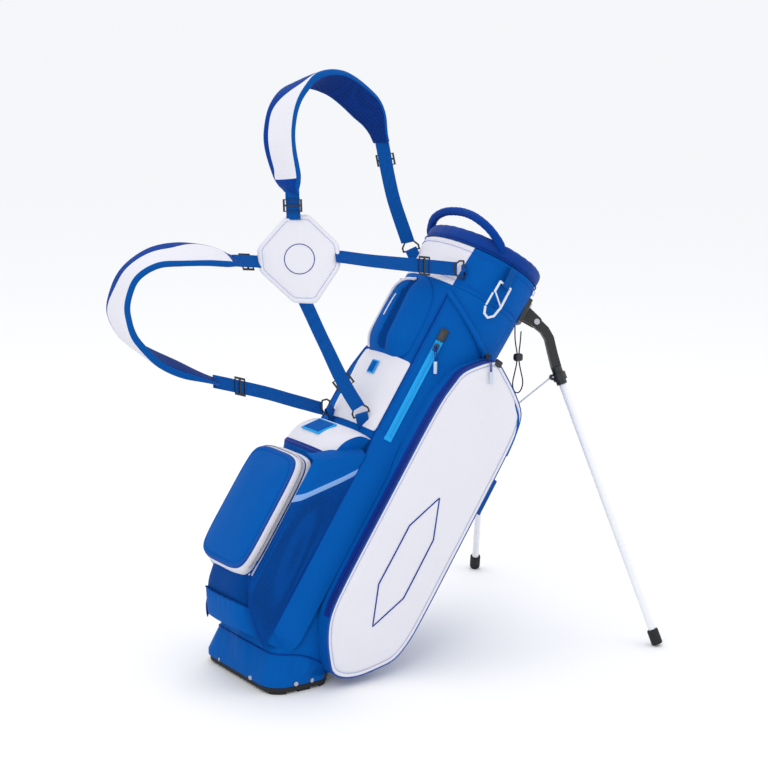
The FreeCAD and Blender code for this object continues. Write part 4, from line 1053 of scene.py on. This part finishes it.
STRIP_LOW, STRIP_HIGH, STRIP_STEPS = 24, 446, 45
COLUMNS, MESH_ROWS, HEM_ROWS, EDGE_ROWS = 24, 28, 32, 40        # the last row of each cloth
HEM_HALF = 7
for label, sign in (("near", 1), ("far", -1)):
    rows = []
    for k in range(STRIP_STEPS + 1):
        z = STRIP_LOW + (STRIP_HIGH - STRIP_LOW) * k / STRIP_STEPS
        e = max(ease((z - 366) / 76), ease((50 - z) / 26))
        row = []
        for j in range(17):
            u = j / 16
            chord = Vector((STRIP_END[0] + (SEAM_PLAN[0] - STRIP_END[0]) * u,
                            STRIP_END[1] + (SEAM_PLAN[1] - STRIP_END[1]) * u))
            chord += Vector((-0.38, -0.92)) * 2.6 * math.sin(math.pi * u) * (1 + 0.15 * math.sin(z * 0.05))
            a = math.radians(62.0 + (CORNER_SEAM - 62.0) * u)
            lay = Vector((-(TUBE_RX + 0.2) * math.cos(a), -(TUBE_RY + 0.2) * math.sin(a)))
            p = chord.lerp(lay, e)
            row.append(bag(p.x, sign * p.y, z))
        rows.append(row)
    build(f"side_strip_{label}", *loft(rows, False, (False, False)), BLUE, slot="blue_fabric",
          stands_for=["bottle_pocket"] if sign > 0 else [])
    seam_piping(f"side_strip_seam_{label}", [row[-1] for row in rows], 1.5, ROYAL)
    reach = 187 if sign > 0 else 150
    columns = [-99 - (reach - 99) * j / COLUMNS for j in range(COLUMNS + 1)]
    rows = []
    for k in range(EDGE_ROWS + 1):
        row = []
        for j, x in enumerate(columns):
            low, hem, top = along_edge(LOW_EDGE, x), along_edge(HEM, x), along_edge(TOP_EDGE, x)
            if sign < 0:
                top -= 20 * ease((-105 - x) / 40)
            fold = 0
            if k <= MESH_ROWS:
                t = k / MESH_ROWS
                z = low + (hem - HEM_HALF - low) * k / MESH_ROWS
                out = 3.0 * math.sin(math.pi * k / MESH_ROWS) * math.sin(math.pi * j / COLUMNS) + 1.4
                fold = 0.9 * math.sin(x * 0.11 + z * 0.02) * math.sin(math.pi * t) if t < 1 else 0
            elif k <= HEM_ROWS:
                z = hem - HEM_HALF + 2 * HEM_HALF * (k - MESH_ROWS) / (HEM_ROWS - MESH_ROWS)
                out = 2.6
            else:
                t = (k - HEM_ROWS) / (EDGE_ROWS - HEM_ROWS)
                z = hem + HEM_HALF + (top - hem - HEM_HALF) * t
                out = 0.6 + 1.2 * math.sin(math.pi * t)
            round_off = turn_in(x, sign)
            row.append(bag(x, sign * (-96.6 - out - fold + round_off), z))
        rows.append(row)
    top_row = rows[-1]
    for drop, rise in ((8, 4), (20, 7), (30, 8)):
        rows.append([p + Vector((0, sign * drop, 0)) * MM + (BAG_Z * rise) * MM for p in top_row])
    verts, faces = loft(rows, False, (False, False))
    index = []
    for n in range(len(faces)):
        k = n // COLUMNS
        index.append(0 if k < MESH_ROWS else (1 if k < HEM_ROWS else 2))
    build(f"bottle_pocket_{label}", verts, faces, [MESH, REFLECT, BLUE], index, slot="mesh_fabric")
    edge_line = [bag(x, sign * (-98.2 + turn_in(x, sign)), along_edge(LOW_EDGE, x)) for x in columns]
    if sign > 0:
        edge_line += [bag(-190, -88, z) for z in (112, 140)]
    seam_piping(f"pouch_seam_{label}", edge_line, 1.4, ROYAL)
    # tubular gusset running from the seam's top down over the side pocket's corner
    way = [on_oval(sign * (CORNER_SEAM + (112 - CORNER_SEAM) * t), 724 - 88 * t, 2.0 + 3.0 * t)
           for t in (i / 14 for i in range(15))]
    way += [bag(58, sign * -131, 628), bag(84, sign * -142, 619), bag(108, sign * -148.5, 606),
            bag(130, sign * -149.5, 588), bag(141, sign * -149, 560), bag(145.5, sign * -148.5, 520)]
    way = [Vector(p) for p in spline(way, 70)]
    radii = [(5.2 - 3.0 * ease((i / 69 - 0.55) / 0.4)) * MM for i in range(70)]
    gusset = build(f"gusset_roll_{label}", *tube(way, radii, 12), BLUE, slot="blue_fabric")

# ---- skirt between tube and base, hemmed round the base plate ----
BASE_HALF, BASE_MIDDLE, BASE_ROUND = (67.5, 122.0), -2.5, 40.0


def base_edge(angle, grow):
    """Where the base's rounded outline lies in this direction; 0 degrees is the strap side."""
    a = math.radians(angle)
    way = Vector((-BASE_HALF[0] * math.cos(a), -BASE_HALF[1] * math.sin(a)))
    low, high = 0.0, 2.0
    for _ in range(30):
        mid = (low + high) / 2
        q = [abs(c) - (h + grow - BASE_ROUND) for c, h in zip(way * mid, BASE_HALF)]
        outside = math.hypot(max(q[0], 0), max(q[1], 0)) + min(max(q), 0) - BASE_ROUND
        low, high = (low, mid) if outside > 0 else (mid, high)
    return way.x * low + BASE_MIDDLE, way.y * low


SKIRT_REACH = 122
skirt_angles = [-SKIRT_REACH + 2 * SKIRT_REACH * j / 120 for j in range(121)]
rows = []
for height in (14.6, 18.0, 21.0, 23.5):
    rows.append([mm(*base_edge(a, 1.0), height) for a in skirt_angles])
hem = rows[-1]
top = [on_oval(a, 36, 0.4) for a in skirt_angles]
for k in range(1, 15):
    t = k / 14
    row = []
    for a, p, q in zip(skirt_angles, hem, top):
        arch = math.sin(math.pi * t)
        crease = 3.0 * math.sin(a * 0.16 + 0.6) * arch + 0.7 * math.sin(a * 0.55) * arch
        row.append(p.lerp(q, t) + oval_normal(a) * crease * MM)
    rows.append(row)
inner_rows = [[p - oval_normal(a) * MM for a, p in zip(skirt_angles, row)] for row in reversed(rows[3:])]
verts, faces = loft(rows + inner_rows, False, (False, False))
skirt = build("skirt_cloth", verts, faces, BLUE, body=None, slot="blue_fabric", stands_for=["skirt"])
seam_line = []
for j, a in enumerate(skirt_angles):
    t = 1 - 0.36 * ease((88 - abs(a)) / 50)
    row_at = 3 + t * 14
    i = min(int(row_at), len(rows) - 2)
    seam_line.append(rows[i][j].lerp(rows[i + 1][j], row_at - i) + oval_normal(a) * 0.8 * MM)
skirt_seam = build("skirt_seam", *tube(seam_line, 1.3 * MM, 8), ROYAL, body=None, slot="blue_fabric")

# ---- harness ----
UPPER_PAD = [
    ((54, 15, 857), (0.05, 0.98, -0.18)), ((45, 17, 888), (-0.29, 0.95, -0.05)),
    ((34, 20, 933), (-0.46, 0.89, -0.01)), ((35, 24, 966), (-0.46, 0.89, -0.04)),
    ((48, 30, 1003), (-0.37, 0.93, -0.03)), ((75, 38, 1030), (-0.18, 0.98, -0.09)),
    ((115, 46, 1046), (0.04, 0.93, -0.37)), ((168, 54, 1039), (0.05, 0.73, -0.68)),
    ((217, 60, 1011), (-0.18, 0.63, -0.75)), ((254, 64, 977), (-0.23, 0.62, -0.75)),
    ((277, 67, 930), (-0.15, 0.80, -0.55))]
LOWER_PAD = [
    ((-44, 37, 742), (0.44, 0.89, 0.13)), ((-103, 34, 756), (0.43, 0.86, 0.28)),
    ((-161, 30, 762), (0.41, 0.82, 0.39)), ((-211, 28, 758), (0.25, 0.92, 0.31)),
    ((-251, 28, 737), (0.04, 0.99, 0.12)), ((-269, 30, 705), (-0.08, 0.99, -0.08)),
    ((-272, 33, 669), (-0.07, 0.97, -0.24)), ((-251, 37, 626), (0.27, 0.91, -0.33)),
    ((-207, 41, 590), (0.54, 0.84, -0.10)), ((-152, 45, 561), (0.59, 0.81, 0.02)),
    ((-79, 48, 531), (0.59, 0.81, -0.04))]


def band_frames(stations, count, sign=1):
    """Points, across ways and outer ways along a band's stations."""
    mid = [Vector(p) for p in spline([s[0] for s in stations], count)]
    wid = [Vector(p) for p in spline([s[1] for s in stations], count)]
    out = []
    for i in range(count):
        along = (mid[min(i + 1, count - 1)] - mid[max(i - 1, 0)]).normalized()
        side = (wid[i] - along * wid[i].dot(along)).normalized()
        out.append((mid[i] * MM, along, side, along.cross(side) * sign))
    return out


def pad_section(width, thick, crown, edge):
    """Half widths and heights round a pad's section: outer face first, then the inner.

    The outer face is split at edge, from -1 to 1, where its two colours meet."""
    w, h = width / 2, thick / 2
    spread = [-1 + (edge + 1) * k / 4 for k in range(4)] + [edge + (1 - edge) * k / 4 for k in range(5)]
    outer = [(s * (w - 3), h + crown * (1 - s * s)) for s in spread]
    right = [(w - 0.8, h - 2), (w, 0), (w - 0.8, -h + 2)]
    inner = [(s * (w - 3), -h - crown * 0.3 * (1 - s * s)) for s in (1, 0.7, 0.35, 0, -0.35, -0.7, -1)]
    left = [(-w + 0.8, -h + 2), (-w, 0), (-w + 0.8, h - 2)]
    return outer + right + inner + left


def shoulder_pad(name, stations, sign, node_name, wedge, white_from, white_to):
    """A padded band whose outer face is white with a dark wedge along one edge."""
    count = 110
    fr = band_frames(stations, count, sign)
    rows = []
    for i, (p, _, side, out) in enumerate(fr):
        t = i / (count - 1)
        taper = 0.80 + 0.20 * ease(t / 0.10)
        taper *= 1 - 0.42 * ease((t - 0.84) / 0.16)
        swell = ease(min(t / 0.05, (1 - t) / 0.10))
        section = pad_section(60 * taper, 5 + 7 * swell, 2.4 * swell, max(-0.96, min(0.96, wedge(t))))
        rows.append([p + (side * a + out * b) * MM for a, b in section])
    n = len(section)
    verts, faces = loft(rows)
    index = []
    for f in range(len(faces)):
        i, j = divmod(f, n)
        t = i / count
        if f >= (count - 1) * n:
            index.append(2)
        elif j < 8:
            index.append(1 if j >= 4 or t < white_from or t > white_to else 0)
        elif j < 12 or j >= n - 4:
            index.append(2)
        else:
            index.append(3)
    pad = build(name, verts, faces, [WHITE, ROYAL, LIGHT_SIDE, NAVY_MESH], index, slot="white_fabric",
                stands_for=[node_name])


def upper_wedge(t):
    """The royal wedge widens along the pad and takes the whole face past its crest."""
    return 1 - 2 * (0.17 + 0.80 * ease((t - 0.34) / 0.26) - 0.12 * ease((0.14 - t) / 0.06))


def lower_wedge(t):
    return 1 - 2 * (0.04 + 0.30 * ease((t - 0.10) / 0.14) * ease((0.62 - t) / 0.18))


shoulder_pad("shoulder_pad_upper_cloth", UPPER_PAD, 1, "shoulder_pad_upper", upper_wedge, 0.08, 0.62)
shoulder_pad("shoulder_pad_lower_cloth", LOWER_PAD, -1, "shoulder_pad_lower", lower_wedge, 0.03, 0.95)

STRAPS = {
    "hub_arm_right": [((123, -39, 746), (0.49, 0.54, 0.68)), ((198, -48, 733), (0.38, 0.48, 0.79)),
                      ((283, -62, 721), (0.24, 0.26, 0.94)), ((341, -75, 713), (0.15, 0.25, 0.96))],
    "hub_arm_bottom": [((66, -15, 664), (-0.58, 0.78, -0.23)), ((98, -27, 591), (-0.52, 0.77, -0.38)),
                       ((127, -42, 523), (-0.72, 0.57, -0.39)), ((150, -50, 482), (-0.83, 0.39, -0.41))],
    "hub_arm_top": [((57, 14, 819), (-0.70, 0.71, -0.06)), ((55, 14, 850), (-0.69, 0.72, -0.06))],
    "hub_arm_left": [((-8, 36, 738), (0.30, 0.62, 0.72)), ((-37, 37, 741), (0.32, 0.66, 0.67))],
    "upper_strap": [((281, 67.5, 921), (-0.60, 0.67, -0.43)), ((304, 68, 833), (-0.58, 0.72, -0.37)),
                    ((338, 67, 748), (-0.75, 0.61, -0.26))],
    "lower_strap": [((-71, 48, 528), (0.54, 0.48, 0.69)), ((11, 48, 503), (0.53, 0.46, 0.71)),
                    ((95, 49, 473), (0.52, 0.44, 0.73)), ((140, 50, 457), (0.47, 0.49, 0.74))],
}

# how far each strap runs on under the hub, into a pad's end or round its ring
RUN_ON = {"hub_arm_right": (12, 5), "hub_arm_bottom": (12, 7), "hub_arm_top": (10, 14),
          "hub_arm_left": (10, 12),
          "upper_strap": (14, 4), "lower_strap": (14, 4)}


STRAP_WIDTH, STRAP_THICK, STRAP_STEPS = 25.0, 2.0, 40
STRAP_SECTION = [(-1, -0.35), (-0.97, -1), (-0.5, -0.85), (0, -0.85), (0.5, -0.85), (0.97, -1), (1, -0.35),
                 (1, 0.35), (0.97, 1), (0.5, 0.85), (0, 0.85), (-0.5, 0.85), (-0.97, 1), (-1, 0.35)]


def strap(name, stations, owner, run_on):
    """A length of webbing along its stations; returns its frames."""
    (first, way_in), (second, _) = stations[:2]
    (last, way_out), (before, _) = stations[-1], stations[-2]
    lead = Vector(first) + (Vector(first) - Vector(second)).normalized() * run_on[0]
    tail = Vector(last) + (Vector(last) - Vector(before)).normalized() * run_on[1]
    stations = [(tuple(lead), way_in)] + stations[1:-1] + [(tuple(tail), way_out)]
    fr = band_frames(stations, STRAP_STEPS)
    rows = []
    for i, (p, _, side, out) in enumerate(fr):
        wob = 0.25 * math.sin(i * 0.5)
        rows.append([p + (side * a * STRAP_WIDTH / 2 + out * (b * STRAP_THICK / 2 + wob)) * MM
                     for a, b in STRAP_SECTION])
    build(name, *loft(rows), WEBBING, slot="webbing", stands_for=[owner])
    return fr


for name, stations in STRAPS.items():
    owner = "hub_webbing" if name.startswith("hub") else "strap_webbing"
    fr = strap(name, stations, owner, RUN_ON[name])
    if len(stations) > 2:
        ends = []
        for lo, hi in ((1, 5), (len(fr) - 8, len(fr) - 3)):
            for off in (-9, 9):
                ends.append(([fr[i][0] + (fr[i][2] * off + fr[i][3] * 1.2) * MM for i in range(lo, hi)],
                             [fr[i][3] for i in range(lo, hi)]))
        thread(f"{name}_thread", ends, THREAD_BLUE, slot="webbing")

# hub: eight-sided pillow, its face turned to the back
HUB_CENTRE = Vector((61, 0, 741))
HUB_NORMAL = Vector((-0.506, -0.830, 0.2335)).normalized()
HUB_RIGHT = Vector((0, 0, 1)).cross(HUB_NORMAL).normalized()
HUB_UP = HUB_NORMAL.cross(HUB_RIGHT)
HUB_OUTLINE = [(-24, 75), (16, 78), (68, 28), (71, -12), (29, -76), (-10, -75), (-69, -21), (-73, 19)]
hub_ring = even_ring(smooth_ring([p for a, b in zip(HUB_OUTLINE, HUB_OUTLINE[1:] + HUB_OUTLINE[:1])
                                  for p in (a, ((a[0] * 3 + b[0]) / 4, (a[1] * 3 + b[1]) / 4),
                                            ((a[0] + 3 * b[0]) / 4, (a[1] + 3 * b[1]) / 4))], 2), 96)


def hub_point(u, v, h):
    return (HUB_CENTRE + HUB_RIGHT * u + HUB_UP * v + HUB_NORMAL * h) * MM


hub_rows = []
for share, h in ((1.0, -6.4), (0.6, -6.4), (0.25, -6.0), (0.10, -5.2), (0.04, -4.0), (0.0, -1.6), (-0.01,
                                                                                                   0.0),
                 (0.0, 1.6), (0.03, 4.0), (0.07, 5.4), (0.095, 5.2), (0.105, 4.9), (0.115, 5.3), (0.2, 7.2),
                 (0.4, 8.8), (0.7, 9.6), (1.0, 9.8)):
    hub_rows.append([hub_point(u * (1 - share), v * (1 - share), h) for u, v in hub_ring])
hub = build("hub_cloth", *loft(hub_rows, True, (False, False)), WHITE, slot="white_fabric",
            stands_for=["hub_pad"])
hub_edge = [hub_point(u * 0.895, v * 0.895, 5.1) for u, v in hub_ring]
thread("hub_thread", [(hub_edge + hub_edge[:1], [HUB_NORMAL] * 97)], THREAD_PALE, slot="white_fabric")
ring = [(26 * math.cos(math.tau * i / 64), 26 * math.sin(math.tau * i / 64)) for i in range(64)]
motif = [hub_point(u, v, 9.9 - 1.6 * (math.hypot(u, v) / 50) ** 2) for u, v in ring]
build("hub_motif", *tube(motif, 0.8 * MM, 6, closed=True), NAVY, slot="blue_fabric")

# ring tabs, folded webbing from each D-ring down to the bag
RINGS = {
    "upper_far": ((348, 67, 728), (-0.75, 0.61, -0.26)),
    "upper_near": ((357, -82, 712), (0.12, 0.20, 0.97)),
    "lower_far": ((157, 50, 455), (0.47, 0.49, 0.74)),
    "lower_near": ((160, -52, 463), (-0.83, 0.39, -0.41)),
}
TAB_HALF, TAB_FACE = 11, 0.75        # half the width and half the thickness
TAB_SECTION = ((-1, -0.5), (-0.9, -1), (0.9, -1), (1, -0.5), (1, 0.5), (0.9, 1), (-0.9, 1), (-1, 0.5))
TAB_BEND = 2.6
for name, (place, bar) in RINGS.items():
    x, y, z = place[0] - AXIS_FOOT[0], place[1], place[2] - AXIS_FOOT[1]
    bx, bz = x * math.cos(LEAN) - z * math.sin(LEAN), x * math.sin(LEAN) + z * math.cos(LEAN)
    inner_end = bag(bx * 0.80, y * 0.86, bz - 16)
    start_at = mm(*place)
    way = (inner_end - start_at).normalized()
    side = (Vector(bar) - way * Vector(bar).dot(way)).normalized()
    out = way.cross(side)
    loop_path = []
    for i in range(9):
        a = math.pi * i / 8
        loop_path.append(start_at - way * TAB_BEND * MM * math.sin(a) + out * TAB_BEND * MM * math.cos(a))
    far_a = inner_end + out * MM
    far_b = inner_end - out * MM
    centre_line = [far_a] + [far_a.lerp(loop_path[0], s) for s in (0.4, 0.8)] + loop_path + [
        loop_path[-1].lerp(far_b, s) for s in (0.2, 0.6)] + [far_b]
    rows = []
    for i, p in enumerate(centre_line):
        along = (centre_line[min(i + 1, len(centre_line) - 1)] - centre_line[max(i - 1, 0)]).normalized()
        n = along.cross(side).normalized()
        rows.append([p + side * s * TAB_HALF * MM + n * h * TAB_FACE * MM for s, h in TAB_SECTION])
    build(f"ring_tab_{name}", *loft(rows), WEBBING, slot="webbing", stands_for=["ring_tabs"])

# leg strap: a folded tab on the near pocket's leg-side edge
STRAP_Z, STRAP_HALF = 439, 35
LEG_STRAP_SECTION = ((-1, -0.5), (-1, 0.5), (0, 0.9), (1, 0.5), (1, -0.5), (0, -0.9))
rows = []
for i in range(41):
    t = i / 40
    a = math.pi * t
    x = 146 + 21 * math.sin(a) ** 0.6 if 0 < t < 1 else 146
    y = -132 + 3.6 * math.cos(a)
    rows.append([bag(x, y + h, STRAP_Z + s * STRAP_HALF) for s, h in LEG_STRAP_SECTION])
build("leg_strap_webbing", *loft(rows), WEBBING, slot="webbing", stands_for=["leg_strap"])

# carabiner loop: webbing down from the cuff round the bar
loop_line = [(-126.6, 814), (-128.4, 796), (-127.4, 782), (-127.9, 777.2), (-131, 775.4), (-134.3, 777.2),
             (-134.9, 782), (-133.8, 796), (-132.6, 814)]
LOOP_SECTION = ((-1, -0.4), (-0.9, -0.8), (0.9, -0.8), (1, -0.4), (1, 0.4), (0.9, 0.8), (-0.9, 0.8), (-1,
                                                                                                      0.4))
LOOP_X, LOOP_HALF = -25, 8
rows = []
for y, z in spline(loop_line, 50):
    rows.append([bag(LOOP_X + s * LOOP_HALF, y, z) + Vector((0, h * MM, 0)) for s, h in LOOP_SECTION])
build("carabiner_webbing", *loft(rows), WEBBING, slot="webbing", stands_for=["carabiner_loop"])


# ---- cords ----
def cord_curve(name, points, radius, mat, body, stands_for):
    data = bpy.data.curves.new(name, "CURVE")
    data.dimensions = "3D"
    data.bevel_depth = radius * MM
    data.bevel_resolution = 3
    data.resolution_u = 12
    data.use_fill_caps = True
    line = data.splines.new("NURBS")
    line.points.add(len(points) - 1)
    for knot, p in zip(line.points, points):
        knot.co = (*(c * MM for c in p), 1)
    line.order_u = 3
    line.use_endpoint_u = True
    data.materials.append(mat)
    obj = bpy.data.objects.new(name, data)
    scene.collection.objects.link(obj)
    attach(obj, body)
    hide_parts(*stands_for)
    return obj


TIE_CORD = [(452.5, -114, 606), (453, -113.5, 588), (459, -109, 570), (467.5, -104, 552),
            (468.5, -103, 534), (463.5, -103, 514), (459, -103, 497), (460.8, -103, 485),
            (467, -103, 476.5), (476, -103, 476.5), (482.2, -103, 485), (484, -103, 497),
            (479.5, -102, 514), (474.5, -101, 534), (475, -100, 552), (481, -95, 566),
            (485.5, -90.5, 577), (486.5, -90, 588)]
tie = cord_curve("tie_cord_line", TIE_CORD, 1.2, CORD, "bag", ["tie_cord"])


def pull_route(bridge, low):
    """A zip pull's loop: up from its grip, over the slider's bridge and down again (mm)."""
    b, e = Vector(bridge), Vector(low)
    down = e - b
    halves = []
    for way in (-1, 1):
        halves.append([e + Vector((way * 1.3, 0, 0)), e - down * 0.35 + Vector((way * 1.6, 0, 0)),
                       e - down * 0.7 + Vector((way * 2.2, 0, 0)), b + Vector((way * 3.2, 0, -1.8)),
                       b + Vector((way * 1.7, 0, 2.3))])
    return [tuple(p) for p in halves[0] + halves[1][::-1]]


SIDE_LIFT = 14 ** 2 / (8 * TUBE_RX) + 0.3 + 1.6 + 0.3
side_peg_end = on_oval(50.0, 622, 0.3 + SIDE_LIFT + 4 + 7) / MM
side_route = pull_route(side_peg_end, side_peg_end + Vector((-3, -4, -26)))
side_pull = cord_curve("side_pull_line", side_route, 0.9, CORD_BLUE, "side_zip", ["side_zip_pull_cord"])
zip_out = Vector((-51, 0, 53)).normalized()
main_base = Vector((9, -144, 648)) + zip_out * 6.5
main_peg_end = bag(main_base.x, main_base.y - 8.5, main_base.z) / MM
main_route = pull_route(main_peg_end, main_peg_end + Vector((-1, -3, -26)))
main_pull = cord_curve("main_pull_line", main_route, 0.9, CORD_BLUE, "main_zip", ["main_zip_pull_cord"])

for piece in (skirt, skirt_seam):
    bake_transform(piece)

# ---- floor and light ----
floor_mesh = bpy.data.meshes.new("floor")
FLOOR_HALF = 400
floor_corners = [(x * FLOOR_HALF, y * FLOOR_HALF, 0) for x, y in ((-1, -1), (1, -1), (1, 1), (-1, 1))]
floor_mesh.from_pydata(floor_corners, [], [(0, 1, 2, 3)])
floor_mat, _, _ = new_material("floor", (0.96, 0.96, 0.965), 0.9, specular=0.0)
floor_mesh.materials.append(floor_mat)
floor = bpy.data.objects.new("floor", floor_mesh)
scene.collection.objects.link(floor)

world = bpy.data.worlds.new("world")
world.use_nodes = True
world.node_tree.nodes["Background"].inputs["Color"].default_value = (0.955, 0.965, 0.985, 1)
world.node_tree.nodes["Background"].inputs["Strength"].default_value = 1.0
scene.world = world
LIGHT_AIM = Vector((0.1, 0, 0.5))


def area_light(name, place, size, power):
    data = bpy.data.lights.new(name, "AREA")
    data.size = size
    data.energy = power
    obj = bpy.data.objects.new(name, data)
    scene.collection.objects.link(obj)
    obj.location = place
    obj.rotation_mode = "QUATERNION"
    obj.rotation_quaternion = (LIGHT_AIM - Vector(place)).to_track_quat("-Z", "Y")


area_light("key", (-2.4, -2.2, 2.6), 1.6, 24)
area_light("fill", (2.6, -2.4, 1.6), 2.0, 7)
area_light("top", (0.4, 0.8, 3.0), 2.2, 14)
scene.view_settings.view_transform = "Standard"
